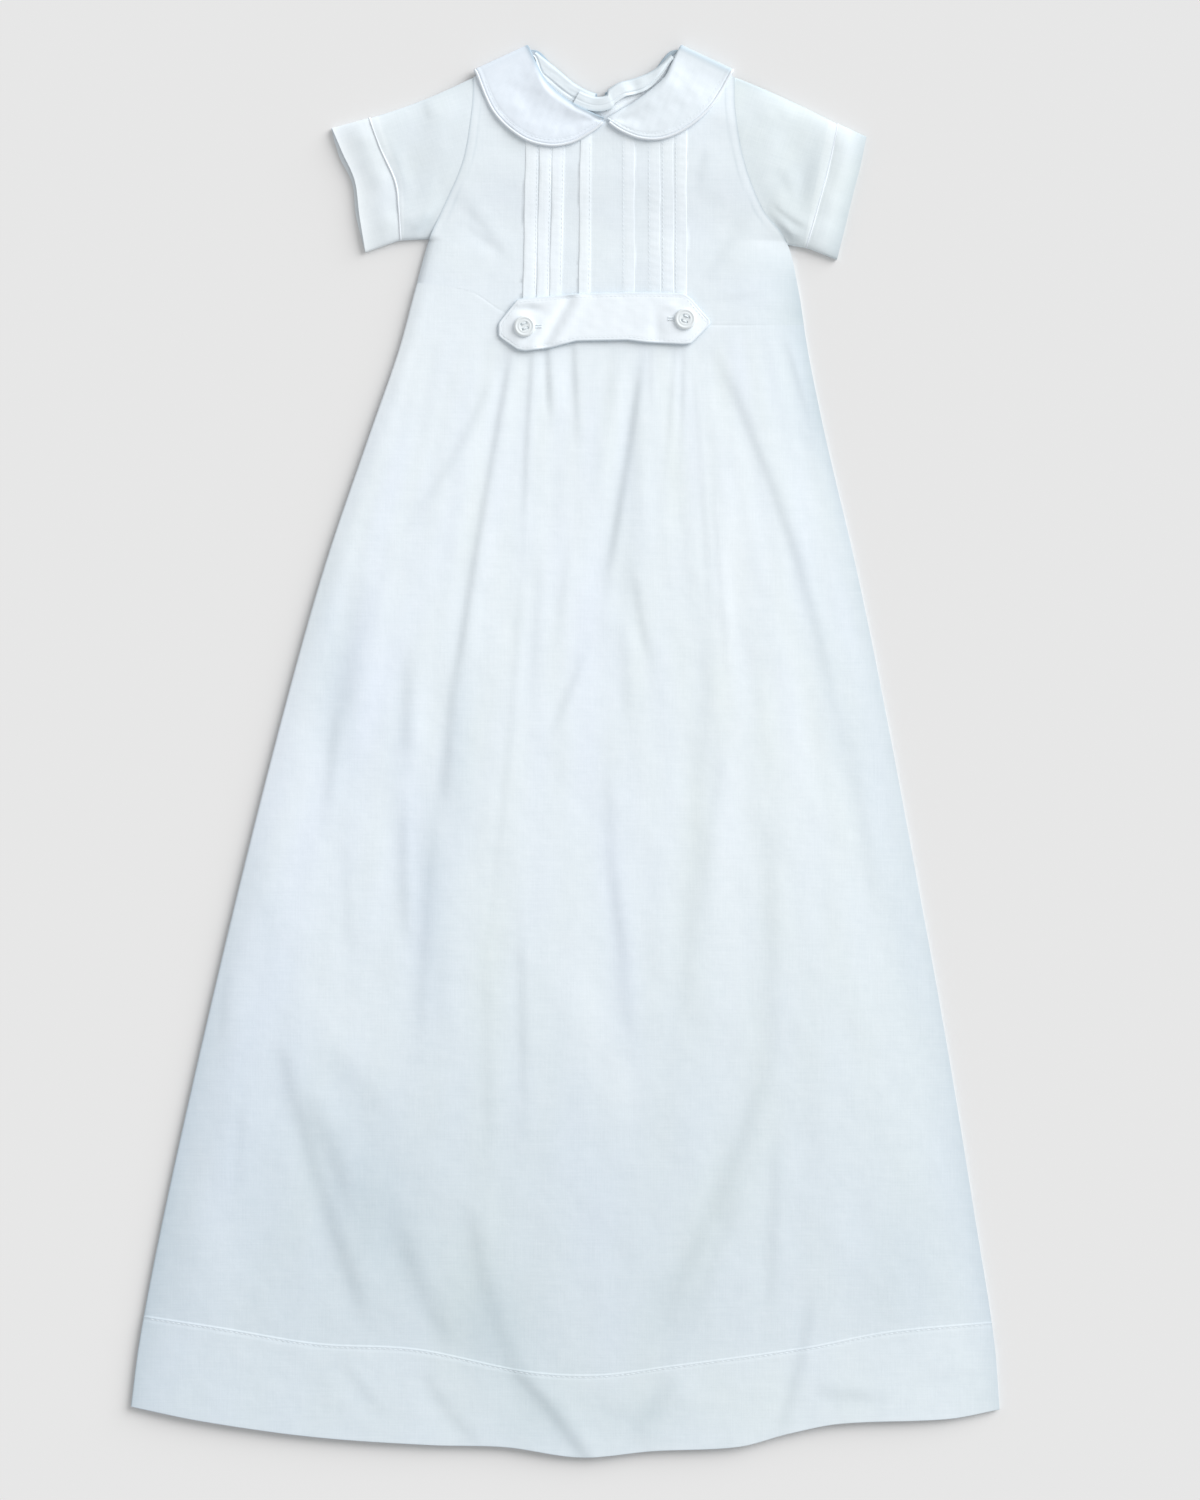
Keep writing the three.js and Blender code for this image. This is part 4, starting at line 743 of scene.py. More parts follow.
def skirtPlace(u, rows):
    # columns fan out from waist to hem; rows follow the waist, the stitching and the hem
    top = waistY(mix(waistLine["x"][0], waistLine["x"][-1], u))
    for again in range(4):
        top = waistY(mix(leftEdge(top), rightEdge(top), u))
    stitch = stitchY(mix(leftEdge(hemStitching["y"][0]), rightEdge(hemStitching["y"][-1]), u))
    bottom = hemY(mix(hemEnds["left"], hemEnds["right"], u))
    half = skirt["stitchStrip"]
    long = top - skirt["waistStrip"] - stitch - half
    hem = stitch - half - bottom - skirt["hemEdge"]
    stops = [skirt["waistStrip"], long, 2 * half, hem, skirt["hemEdge"]]
    share = spread([0, 1, 2, 3, 4, 5], rows)[None, :]
    y = top - sum(np.clip(share - k, 0, 1) * stop for k, stop in enumerate(stops))
    return mix(leftEdge(y), rightEdge(y), u), y


def waistGroove(x, y):
    # the waist seam shows beside the tab and dies out towards the sides
    left = waistLine["showsLeft"] * ease((x + 60) / 10) * ease((-20 - x) / 8)
    right = waistLine["showsRight"] * ease((134 - x) / 34) * ease((x - 74) / 8)
    below = y - waistY(x)
    swell = waistLine["swell"] * bell(below + 2.6, 2.4)
    return (left + right) * (swell - waistLine["groove"] * bell(below, 0.6))


def buildSkirtFront():
    # the front's top with the seams' dips and puckers, and a thin shell under it
    u = spread(skirt["columnKnots"], skirt["columns"])[:, None]
    x, y = skirtPlace(u, skirt["rows"])
    fromStitch = y - stitchY(x)
    hem = ease(0.5 - fromStitch / 1.5)
    gather = 0.6 + 0.4 * crumple(x, y, 31, 8)
    waves = np.sin(x * 1.05 + 0.8 * np.sin(x * 0.13))
    top = frontTop(x, y) + waistGroove(x, y) + hem * hemStitching["rise"]
    top = top + skirt["pucker"] * gather * waves * bell(fromStitch, 3.0)
    top = top - skirt["stitchDip"] * bell(fromStitch + 1.3, 0.6)
    under = np.maximum(top - cloth["thin"], floorLift(x, y) + cloth["thin"] + 0.1)
    edge = mix((top + under) / 2, top, dipRound(y - hemY(x) + 0.001, skirt["hemEdge"]))
    # whiteness: the layers and the turned hem, with painted light and shade in patches, along the folds and
    # at the sides
    pliesAndPaintedLight = skirtPliesAndShade(u, y) + skirt["pliesHem"] * hem + patchSum(x, y, paintedSkirtPatches)
    pliesAndPaintedLight = pliesAndPaintedLight - foldSum(x, y, skirtFolds)[1] - paintedRimShade(x, y)
    tint = patchSum(x, y, skirtTints) + 0.45 * streaks(x, y, 3)
    inner = points3(x, y, np.minimum(under, edge - 0.05))
    return makeShell("skirtFront", "front_skirt", points3(x, y, edge), inner, cotton, pliesAndPaintedLight=pliesAndPaintedLight, tint=tint)


def buildSkirtBack():
    # flat on the surface, rounded a little at its edges
    u = np.linspace(0, 1, skirt["backColumns"])[:, None]
    x, y = skirtPlace(u, skirt["backRows"])
    edge = dipRound(y - hemY(x) + 0.001, 0.5)
    side = dipRound(np.minimum(x - leftEdge(y), rightEdge(y) - x), 0.8)
    top = mix(0.4, cloth["thin"], edge * mix(0.6, 1, side))
    outer = points3(x, y, 0.0)
    return makeShell("skirtBack", "back_skirt", outer, points3(x, y, top), cotton, pliesAndPaintedLight=skirtPliesAndShade(u, y))


skirtFront = buildSkirtFront()
skirtBack = buildSkirtBack()
print("gown: skirt made")

# Bodice
tucks = {
    "foldTop": [-22.4, -14.3, -6.7, 9.4, 41.4, 56.6, 64.6, 72.4],
    "stitchTop": [-14.6, -7.0, 0.6, 16.2, 34.0, 49.3, 57.4, 65.2],
    "foldWaist": [-25.4, -17.3, -9.5, 8.0, 41.6, 57.2, 65.2, 73.0],
    "stitchWaist": [-17.6, -9.8, -2.2, 15.2, 34.2, 49.8, 58.0, 65.8],
    "rise": 0.42,
    "share": [1, 1, 1, 0.9, 0.35, 0.35, 0.4, 0.45],
    "ripple": [0.04, 0.04, 0.05, 0.05, 0.14, 0.3, 0.32, 0.22],
    "inner": (-22.7, 72.7),  # the panel follows its sides only outside these
}
bodice = {
    "rows": [120, 10],
    "sideColumns": 26,
    "columnWidth": 1.3,
    "allowance": 5.6,        # width of the seam allowance that shows through
    "pliesSide": 0.70,
    "pliesTuck": 0.97,
    "paintedLightInside": 0.35,
}


def shoulderTopY(x):
    # the shoulder lines on both sides, and the front neckline between them
    left = mix(neck["shoulderY"], neck["y"], (x - topEnds["left"]) / (neck["leftX"] - topEnds["left"]))
    right = mix(neck["y"], neck["shoulderY"], (x - neck["rightX"]) / (topEnds["right"] - neck["rightX"]))
    return np.where(x < neck["leftX"], left, np.where(x > neck["rightX"], right, frontNeckY(x)))


def bodiceColumns():
    # x of each column at the neck and the waist, crowded at the tucks' edges
    topStops = [topEnds["left"]]
    waistStops = [waistEnds["left"]]
    steps = []
    for k in range(8):
        way = 1 if tucks["stitchTop"][k] > tucks["foldTop"][k] else -1
        marks = [("fold", -0.35), ("fold", 0.45), ("stitch", -0.9), ("stitch", 0.5)][::way]
        for line, inward in marks:
            stop = tucks[line + "Top"][k] + inward * way
            steps.append(max(1, int(abs(stop - topStops[-1]) / bodice["columnWidth"])))
            topStops.append(stop)
            waistStops.append(tucks[line + "Waist"][k] + inward * way)
        steps[-1] = 5 if way < 0 else 4
        steps[-3] = 5 if way > 0 else 4
    steps.append(bodice["sideColumns"])
    steps[0] = bodice["sideColumns"]
    return spread(topStops + [topEnds["right"]], steps), spread(waistStops + [waistEnds["right"]], steps)


def tuckHeight(x, y, v):
    # each tuck: a sharp rounded fold edge, a level flap, and a soft step at its stitching
    total = np.zeros_like(x)
    for k in range(8):
        wobble = 0.125 * np.sin(y * 0.11 + 1.7 * k) + 0.06 * np.sin(y * 0.31 + k)
        fold = mix(tucks["foldTop"][k], tucks["foldWaist"][k], v) + wobble
        stitch = mix(tucks["stitchTop"][k], tucks["stitchWaist"][k], v)
        way = np.sign(tucks["stitchTop"][k] - tucks["foldTop"][k])
        fromFold = (x - fold) * way
        toStitch = (stitch - x) * way
        lift = (1 + 0.22 * np.sin(y * 0.07 + 2.1 * k)) * tucks["share"][k]
        ripple = tucks["ripple"][k] * np.sin(y * 1.15 + 0.25 * x + 2 * k) * ease(fromFold / 1.5)
        flap = (dipRound(fromFold + 0.15, 0.6) + ripple) * (fromFold > -0.15) * lift
        flap = flap * ease((toStitch + 0.5) / 2.2) * tucks["rise"]
        groove = 0.06 * bell(toStitch - 0.9, 0.35)
        pucker = 0.03 * np.sin(y * 2.0 + k) * ease((2 - np.abs(toStitch - 1)) / 2)
        total += np.where((fromFold > -0.5) & (toStitch > -0.8), flap - groove + pucker, 0)
    return total


def buildBodiceFront():
    # columns run straight from neck to waist between the tucks, and follow the sides outside them
    topX, waistX = (line[:, None] for line in bodiceColumns())
    v = spread([0, 0.965, 1], bodice["rows"])[None, :]
    y = mix(shoulderTopY(topX), waistY(waistX), v)
    straightX = mix(topX, waistX, v)
    first, last = tucks["inner"]
    leftShare = np.clip((first - topX) / (first - topEnds["left"]), 0, 1)
    rightShare = np.clip((topX - last) / (topEnds["right"] - last), 0, 1)
    x = straightX + leftShare * (leftEdge(y) - mix(topEnds["left"], waistEnds["left"], v))
    x = x + rightShare * (rightEdge(y) - mix(topEnds["right"], waistEnds["right"], v))
    tuck = tuckHeight(straightX, y, v) * ease((underShoulder(x, y) - 8) / 14)
    armhole = np.minimum(x - leftEdge(y), rightEdge(y) - x)
    beside = ease((y - body["underarm"] + 6) / 10)
    allowance = beside * ease((bodice["allowance"] - armhole) / 1.2)
    seamLine = beside * (0.7 * bell(armhole, 0.9) + 0.26 * bell(armhole - 5.4, 0.6))
    top = frontTop(x, y) + waistGroove(x, y) + tuck + 0.07 * allowance
    inner = points3(x, y, frontTop(x, y) - cloth["thin"])
    pliesAndPaintedLight = mix(bodice["pliesSide"], bodice["pliesTuck"], np.clip(tuck / (0.6 * tucks["rise"]), 0, 1))
    # painted shade along the folds and towards the sides
    pliesAndPaintedLight = pliesAndPaintedLight + 0.03 * allowance - seamLine - foldSum(x, y, bodiceFolds)[1] - paintedRimShade(x, y)
    tint = 0.15 + 0.4 * ease((x - 90) / 50) + 0.3 * crumple(x, y, 40, 2)
    outer = points3(x, y, top)
    return makeShell("bodiceFront", "front_bodice", outer, inner, cotton, pliesAndPaintedLight=pliesAndPaintedLight, tint=tint)


def buildBodiceBack(side):
    # from the shoulder and the rolled neck edge down to the waist, hemmed at the opening
    left = side == "left"
    middle = lap["end"] if left else lap["start"]
    neckX = neck[side + "X"]
    edge = leftEdge if left else rightEdge
    u = np.linspace(0, 1, 61)[:, None]
    v = np.linspace(0, 1, 60)[None, :]
    topX = np.where(u < 0.4, mix(topEnds[side], neckX, u / 0.4), mix(neckX, middle, (u - 0.4) / 0.6))
    waistX = mix(waistEnds[side], middle, u)
    outsideNeck = (topX < neck["leftX"] + 0.01) | (topX > neck["rightX"] - 0.01)
    neckTop = np.minimum(rollY(topX) - backRoll["inset"], neck["y"])
    y = mix(np.where(outsideNeck, shoulderTopY(topX), neckTop), waistY(waistX), v)
    x = mix(topX, waistX, v) + (1 - ease(u)) * (edge(y) - mix(topEnds[side], waistEnds[side], v))
    base = floorLift(x, y) + (0 if left else 1) * lapLift(x) + neckLift(x, y)
    hemmed = ease(8 - np.abs(x - middle)) * 0.25
    # painted light inside the neck opening, where the back lies in shade
    pliesAndPaintedLight = bodice["pliesSide"] + hemmed + bodice["paintedLightInside"] * ease((y - 366) / 14)
    inner = points3(x, y, base + cloth["thin"])
    name = "bodiceBack" + side.capitalize()
    return makeShell(name, "back_bodice_" + side, points3(x, y, base), inner, cotton, pliesAndPaintedLight=pliesAndPaintedLight)


bodiceFront = buildBodiceFront()
bodiceBackLeft = buildBodiceBack("left")
bodiceBackRight = buildBodiceBack("right")
print("gown: bodice made")

# Sleeves and cuffs
sleeveShapes = {
    "left": {
        "away": -1,
        "topY": 403.8,
        "underarmY": 307,
        "sag": 1.6,
        "cuffSeam": [(-117.4, 379.6), (-110.4, 360.6), (-101.8, 341.2), (-99.6, 325.0), (-98.6, 306.2)],
        "frontEdge": [(-139.8, 373.6), (-133.4, 358.6), (-126.0, 341.8), (-123.2, 321.0), (-119.6, 299.0)],
        "backEdge": [(-140.2, 373.4), (-135.4, 356.4), (-127.6, 340.4), (-125.4, 321.0), (-119.8, 299.2)],
        "grain": 0.32,
        "pliesAndPaintedLight": 0.6,
        "paintedTopShade": 0.25,
        "pliesCuff": 0.77,
        "pipingDrop": 0.42,
        "paintedEdgeShade": -0.25,
        "tint": 0.4,
        "folds": {
            "underarm": (-68, 332, -97, 309, 1.5, -1.4, 4, 8, 7, 0.10, 0.3, 0.3),
            "underarm two": (-76, 322, -90, 308, 0, -1.4, 5, 5, 5, 0.20, 0.4, 0.3),
            "inner": (-72, 348, -88, 326, 0, -0.7, 7, 7, 7, 0.05, 0.4, 0.4),
            "top": (-86, 394, -80, 376, 0, 0.6, 5, 6, 6, 0.03, 0.4, 0.4),
            "cuff side": (-106, 368, -95, 326, 0, 0.9, 6, 7, 7, 0.08, 0.4, 0.4),
        },
    },
    "right": {
        "away": 1,
        "topY": 403.8,
        "underarmY": 303.6,
        "sag": -1.2,
        "cuffSeam": [(163.6, 376.0), (160.0, 358.6), (155.6, 340.4), (150.2, 321.0), (144.6, 301.6)],
        "frontEdge": [(180.6, 368.4), (177.2, 351.0), (172.8, 334.0), (168.2, 315.0), (163.0, 294.6)],
        "backEdge": [(180.8, 368.2), (177.0, 350.6), (172.6, 333.6), (168.0, 314.6), (163.2, 294.8)],
        "grain": -0.32,
        "pliesAndPaintedLight": 0.51,
        "paintedTopShade": 0.9,
        "pliesCuff": 0.6,
        "pipingDrop": 0.75,
        "paintedEdgeShade": 0.42,
        "tint": 1.0,
        "folds": {
            "underarm": (118, 325, 143, 304, -1.5, 1.2, 2.6, 6, 6, 0.12, 0.2, 0.2),
            "underarm two": (122, 330, 148, 312, -1.5, 0.8, 3, 6, 6, 0.08, 0.3, 0.3),
            "inner": (128, 352, 138, 330, 0, 0.6, 7, 7, 7, 0.04, 0.4, 0.4),
            "cuff side": (154, 370, 142, 318, -1, 1.2, 9, 10, 8, 0.14, 0.4, 0.4),
            "top": (133, 392, 128, 376, 0, 0.5, 5, 6, 6, 0.03, 0.4, 0.4),
        },
    },
}
sleeve = {
    "dome": 2.9,
    "openEdge": 0.3,
    "rounding": 0.2,         # share of the width over which the front rounds down to its folds
    "bandRise": 0.24,
    "pipingRadius": 0.75,
    "rows": 70,
    "bandRows": 26,
    "length": 60,
    "bandLength": 22,
    "foldDark": 1.6,
}
sides = ("left", "right")


def armY(own, t):
    # y along the armhole, straight from the shoulder to the underarm
    return mix(own["topY"], own["underarmY"], t)


def tubeWidth(own):
    # width of the flattened sleeve, from the fold at the shoulder to the underarm
    return 0.8 * (own["topY"] - own["underarmY"])


def tubeShell(name, node, own, bow, startLine, endLine, rows, gapAt, rise, pliesAndShadeAt, material):
    # ring columns run down the front from the shoulder fold and back along the underside
    length = tubeWidth(own)
    near = np.array([0.0, 0.15, 0.4, 0.8, 1.3, 2.0, 3.0, 4.5]) / length
    even = np.linspace(6.5 / length, 1 - 6.5 / length, 80)
    ahead = np.concatenate([near, even, 1 - near[::-1]])
    behind = np.concatenate([near, even[::3], 1 - near[::-1]])
    columns = np.concatenate([ahead, behind[::-1][1:-1]])[:, None]
    front = np.arange(len(columns))[:, None] < len(ahead)
    s = np.linspace(0, 1, rows + 1)[None, :]

    def place(inset):
        across = mix(inset / length, 1 - inset / length, columns[:, 0])
        a = startLine(across, front[:, 0])
        b = endLine(across, front[:, 0])
        y = mix(a[:, 1:], b[:, 1:], s) - bow * 4 * s * (1 - s) * (1 - columns)
        return mix(a[:, :1], b[:, :1], s), y

    x, y = place(0)
    distance = np.minimum(columns, 1 - columns) * length
    wide = dipRound(distance, sleeve["rounding"] * length)
    small = dipRound(distance, 1.0)
    top = stack(wide) + gapAt(x, y, columns, s) * wide + rise
    middle = cloth["thin"] + 0.05
    z = np.where(front, mix(middle, top, small), mix(middle, 0.0, small))
    outer = points3(x, y, z + floorLift(x, y))
    inX, inY = place(cloth["thin"])
    lower = mix(middle - 0.02, cloth["thin"], small)
    z = np.where(front, mix(middle + 0.02, top - cloth["thin"], small), lower)
    inner = points3(inX, inY, z + floorLift(inX, inY))
    pliesAndPaintedLight = pliesAndShadeAt(x, y, columns, s)
    tint = own["tint"] + 0.3 * crumple(x, y, 30, 4)
    return makeShell(name, node, outer, inner, material, pliesAndPaintedLight, tint, own["grain"], True)


def paintedTopShade(own, t):
    # painted shade where the fold at the shoulder line turns over: exp(-d / 1.6), d from the fold
    return own["paintedTopShade"] * np.exp(-t * tubeWidth(own) / sleeve["foldDark"])


def bandSeam(own, t, front, outward):
    # the front keeps clear of the piping on both sides of the seam; the underside meets at it
    clear = own["away"] * np.where(front, sleeve["pipingRadius"] * 0.7, 0.05)
    return splineThrough(own["cuffSeam"], t) + outward * np.stack([clear, 0 * t], axis=1)


def buildSleeve(side):
    # from the armhole to the piping; it swells from the body's own height to a full dome
    own = sleeveShapes[side]
    edge = leftEdge if side == "left" else rightEdge

    def startLine(t, front):
        y = armY(own, t)
        return np.stack([edge(y) + own["away"] * 0.05, y], axis=1)

    def endLine(t, front):
        return bandSeam(own, t, front, -1)

    def gapAt(x, y, t, s):
        seamY = armY(own, t)
        loose = sleeve["dome"] + foldSum(x, y, own["folds"])[0] + 0.2 * crumple(x, y, 24, 5)
        gap = mix(frontGap(edge(seamY), seamY), loose, ease(s * 2.2))
        seamDip = 0.05 * bell(s * sleeve["length"], 0.8) + 0.15 * bell((1 - s) * sleeve["length"], 1.6)
        return softLimit(gap, 0.1, cloth["mostGap"] + 0.9) - seamDip

    def pliesAndShadeAt(x, y, t, s):
        # painted shade along the sleeve's folds and at the shoulder fold
        return own["pliesAndPaintedLight"] + 0.2 * ease((s - 0.9) / 0.03) - foldSum(x, y, own["folds"])[1] - paintedTopShade(own, t)

    return tubeShell("sleeve" + side.capitalize(), "sleeve_" + side, own, own["sag"], startLine, endLine,
                     sleeve["rows"], gapAt, 0.0, pliesAndShadeAt, cotton)


def buildCuff(side):
    # the band beyond the piping, flatter towards its open edge
    own = sleeveShapes[side]

    def startLine(t, front):
        return bandSeam(own, t, front, 1)

    def endLine(t, front):
        behind = splineThrough(own["backEdge"], t)
        return np.where(front[:, None], splineThrough(own["frontEdge"], t), behind)

    def gapAt(x, y, t, s):
        puffed = sleeve["dome"] - 0.7 + 0.22 * crumple(x, y, 19, 7) + 0.15 * np.sin(7 * t - 3 * s)
        flatter = mix(1, sleeve["openEdge"], ease((s - 0.25) / 0.75))
        return puffed * flatter - 0.15 * bell(s * sleeve["bandLength"], 1.6)

    def pliesAndShadeAt(x, y, t, s):
        # painted shade towards the right cuff's open edge and painted light towards the left one's, and
        # painted shade at the shoulder fold
        return own["pliesCuff"] - own["paintedEdgeShade"] * ease((s - 0.4) / 0.6) - paintedTopShade(own, t)

    return tubeShell("cuff" + side.capitalize(), "cuff_" + side, own, 0.0, startLine, endLine,
                     sleeve["bandRows"], gapAt, sleeve["bandRise"], pliesAndShadeAt, crispCotton)


def buildCuffPiping(side):
    # along the front of the seam between sleeve and band
    own = sleeveShapes[side]
    t = np.linspace(0.008, 0.992, 120)
    x, y = splineThrough(own["cuffSeam"], t).T
    distance = np.minimum(t, 1 - t) * tubeWidth(own)
    wide = dipRound(distance, sleeve["rounding"] * tubeWidth(own))
    top = stack(wide) + (sleeve["dome"] - 0.3) * wide
    z = floorLift(x, y) + mix(0.9, top - own["pipingDrop"], dipRound(distance, 1.0))
    return makeCord("cuffPiping" + side.capitalize(), "cuff_piping_" + side, points3(x, y, z), upwards,
                    sleeve["pipingRadius"], pipingCotton)


sleeves = {side: buildSleeve(side) for side in sides}
cuffs = {side: buildCuff(side) for side in sides}
for side in sides:
    buildCuffPiping(side)
print("gown: sleeves made")

# Collar
collarShapes = {
    "left": {
        "neck": [(23.6, 378.9), (16.0, 382.3), (5.6, 387.6), (-3.6, 394.2), (-11.6, 402.2), (-16.6, 411.2),
                 (-20.9, 420.5)],
        "edge": [(22.6, 377.2), (15.6, 371.6), (3.0, 364.8), (-11.0, 363.4), (-26.4, 368.6), (-42.0, 383.2),
                 (-52.0, 406.1)],
        "back": [(-52.0, 406.1), (-48.0, 386.0), (-36.0, 369.0), (-18.0, 359.0), (2.0, 355.6), (15.0, 360.0),
                 (19.4, 371.0)],
        "backNeck": 19.2,
        "tint": -0.8,
        "grain": 0.5,
        "flare": 0.9,
        "paintedNeckShade": 1.4,
        "neckWide": 1.9,
        "paintedTurnShade": 0.2,
        "outward": (-0.471, 0.882),
    },
    "right": {
        "neck": [(25.4, 378.9), (32.6, 383.6), (42.0, 389.4), (51.4, 396.2), (59.4, 403.6), (63.6, 411.6),
                 (68.1, 420.5)],
        "edge": [(26.4, 377.2), (34.8, 371.6), (46.6, 367.4), (59.6, 367.8), (74.0, 374.8), (87.6, 387.6),
                 (98.6, 406.1)],
        "back": [(98.6, 406.1), (93.0, 386.0), (81.0, 369.0), (63.0, 359.0), (43.0, 355.6), (28.6, 360.0),
                 (23.4, 371.0)],
        "backNeck": 24.0,
        "tint": 0.0,
        "grain": -0.5,
        "flare": 0.35,
        "paintedNeckShade": 0.35,
        "neckWide": 0.9,
        "paintedTurnShade": 1.0,
        "outward": (0.471, 0.882),
    },
}
collar = {
    "front": 0.5,      # share of the length where the shoulder fold starts
    "turn": 0.62,      # and where it ends
    "top": 6.45,
    "neckRoll": 0.5,
    "thick": 1.2,
    "pliesAndPaintedLight": 0.71,
    "length": 260,
    "stitchIn": 2.6,
    "pipingRadius": 0.95,
}


def collarPoints(side, u, v):
    # the collar as a strip: a point of its inner face and the direction its thickness grows in
    own = collarShapes[side]
    a = np.clip(u / collar["front"], 0, 1)
    leaf = mix(splineThrough(own["neck"], a), splineThrough(own["edge"], a), v[..., None])
    x = leaf[..., 0]
    y = leaf[..., 1]
    overTucks = ease((x + 36) / 8) * ease((86 - x) / 8) * ease(underShoulder(x, y) / 14)
    flare = own["flare"] * (1 - v) ** 2 * (1 - ease((a - 0.5) / 0.5))
    z = frontTop(x, y) + tucks["rise"] * overTucks + 0.45 + flare
    z = mix(z, collar["top"] - collar["thick"], ease((a - 0.8) / 0.2))
    turn = np.clip((u - collar["front"]) / (collar["turn"] - collar["front"]), 0, 1) * np.pi
    outTurn = points3(own["outward"][0] * np.sin(turn), own["outward"][1] * np.sin(turn), np.cos(turn))
    bent = points3(x, y, collar["top"] / 2) + outTurn * (collar["top"] - 2 * collar["thick"]) / 2
    b = np.clip((u - collar["turn"]) / (1 - collar["turn"]), 0, 1)
    neckX = mix(own["neck"][-1][0], own["backNeck"], b)
    neckY = mix(own["neck"][-1][1], rollY(neckX) - 0.2, ease(b * 3))
    e = splineThrough(own["back"], b)
    under = points3(mix(neckX, e[..., 0], v), mix(neckY, e[..., 1], v), collar["thick"])
    onFront = (u <= collar["front"])[..., None]
    onTurn = (u <= collar["turn"])[..., None]
    point = np.where(onFront, points3(x, y, z), np.where(onTurn, bent, under))
    return point, np.where(onFront, upwards, np.where(onTurn, outTurn, -upwards))


def buildCollar(side):
    # puffed up inside a row of stitches near the edge, with a soft hollow along the front leaf
    own = collarShapes[side]
    thick = collar["thick"]
    across = [[0, 0.008, 0.02, 0.04], np.linspace(0.07, 0.93, 30), [0.955, 0.97, 0.98, 0.988, 0.995, 1]]
    along = spread([0, collar["front"], collar["turn"], 1], [120, 20, 59])
    u, v = np.meshgrid(along, np.concatenate(across), indexing="ij")
    point, out = collarPoints(side, u, v)
    x = point[..., 0]
    y = point[..., 1]
    width = np.linalg.norm(point[:, -1] - point[:, 0], axis=-1)[:, None]
    toEdge = (1 - v) * width
    toNeck = v * width
    rounded = dipRound(toEdge, 0.7) * dipRound(toNeck, 0.7)
    waves = 0.05 * np.sin(u * collar["length"] * 2.1) * ease((4 - toEdge) / 3)
    edgeRelief = 0.10 * bell(toEdge - 1.2, 0.8) + waves - 0.17 * bell(toEdge - collar["stitchIn"], 0.5)
    soft = 0.22 * crumple(x, y, 17, 3) + 0.10 * crumple(x, y, 7, 4)
    front = 1 - ease((u - 0.42) / 0.08)
    hollow = -0.75 * bell(v - 0.45, 0.22) * ease(u / 0.1) * ease((0.5 - u) / 0.12)
    rolled = collar["neckRoll"] * (1 - dipRound(toNeck, 2.4)) * ease(u / 0.04)
    relief = front * ((soft + hollow) * ease(toEdge / 3) - rolled) + edgeRelief
    relief = relief * (u <= collar["turn"])
    outer = point + out * (mix(thick * 0.5, thick, rounded) + relief)[..., None]
    inner = point + out * (mix(thick * 0.5, 0.0, rounded) + relief * 0.8)[..., None]
    outer[..., 2] = np.maximum(outer[..., 2], 0.0)
    # painted shade along the neck edge and where the leaf turns over at the shoulder
    pliesAndPaintedLight = collar["pliesAndPaintedLight"] - own["paintedNeckShade"] * bell(toNeck, own["neckWide"]) - 0.2 * np.exp(-toNeck / 2.0)
    pliesAndPaintedLight = pliesAndPaintedLight - own["paintedTurnShade"] * ease((u - collar["front"] + 0.02) / 0.04)
    return makeShell("collar" + side.capitalize(), "collar_" + side, outer, inner, crispCotton,
                     pliesAndPaintedLight, own["tint"], own["grain"])


def buildCollarPiping(side):
    # along the outer edge, moved out in the collar's own plane, each point the mean of five
    radius = collar["pipingRadius"]
    u = np.linspace(0.01, 0.985, 320)
    edge, out = collarPoints(side, u, np.ones_like(u))
    tangent = unit(np.gradient(edge, axis=0))
    away = edge - collarPoints(side, u, np.full_like(u, 0.9))[0]
    away = unit(away - (away * tangent).sum(1, keepdims=True) * tangent)
    turned = ease((u - collar["front"]) / (collar["turn"] - collar["front"]))
    depth = mix(0.6, collar["thick"] - radius, turned)[:, None]
    line = np.pad(edge + away * radius * 0.75 + out * depth, ((2, 2), (0, 0)), mode="edge")
    path = sum(line[k:k + len(u)] for k in range(5)) / 5
    path[:, 2] = np.maximum(path[:, 2], radius + 0.01)
    name = "collarPiping" + side.capitalize()
    return makeCord(name, "collar_piping_" + side, path, out, radius, pipingCotton)


collars = {side: buildCollar(side) for side in sides}
for side in sides:
    buildCollarPiping(side)
print("gown: collar made")

# Neck band
neckBands = {
    "left": {"start": -17, "end": 18.5, "taper": 10, "under": 2.6, "paintedRimShade": 1.2, "columns": 70},
    "right": {"start": 10.4, "end": 63, "taper": 20, "under": 0.8, "paintedRimShade": 0.9, "columns": 130},
    "middle": 9.0,
    "tip": 3.4,
    "pliesAndPaintedLight": 0.62,
}
# The closing end of the right half lies over the left as a flat block.
block = {"to": 25.5, "drop": 2.3, "extra": 1.9, "rise": 0.3}


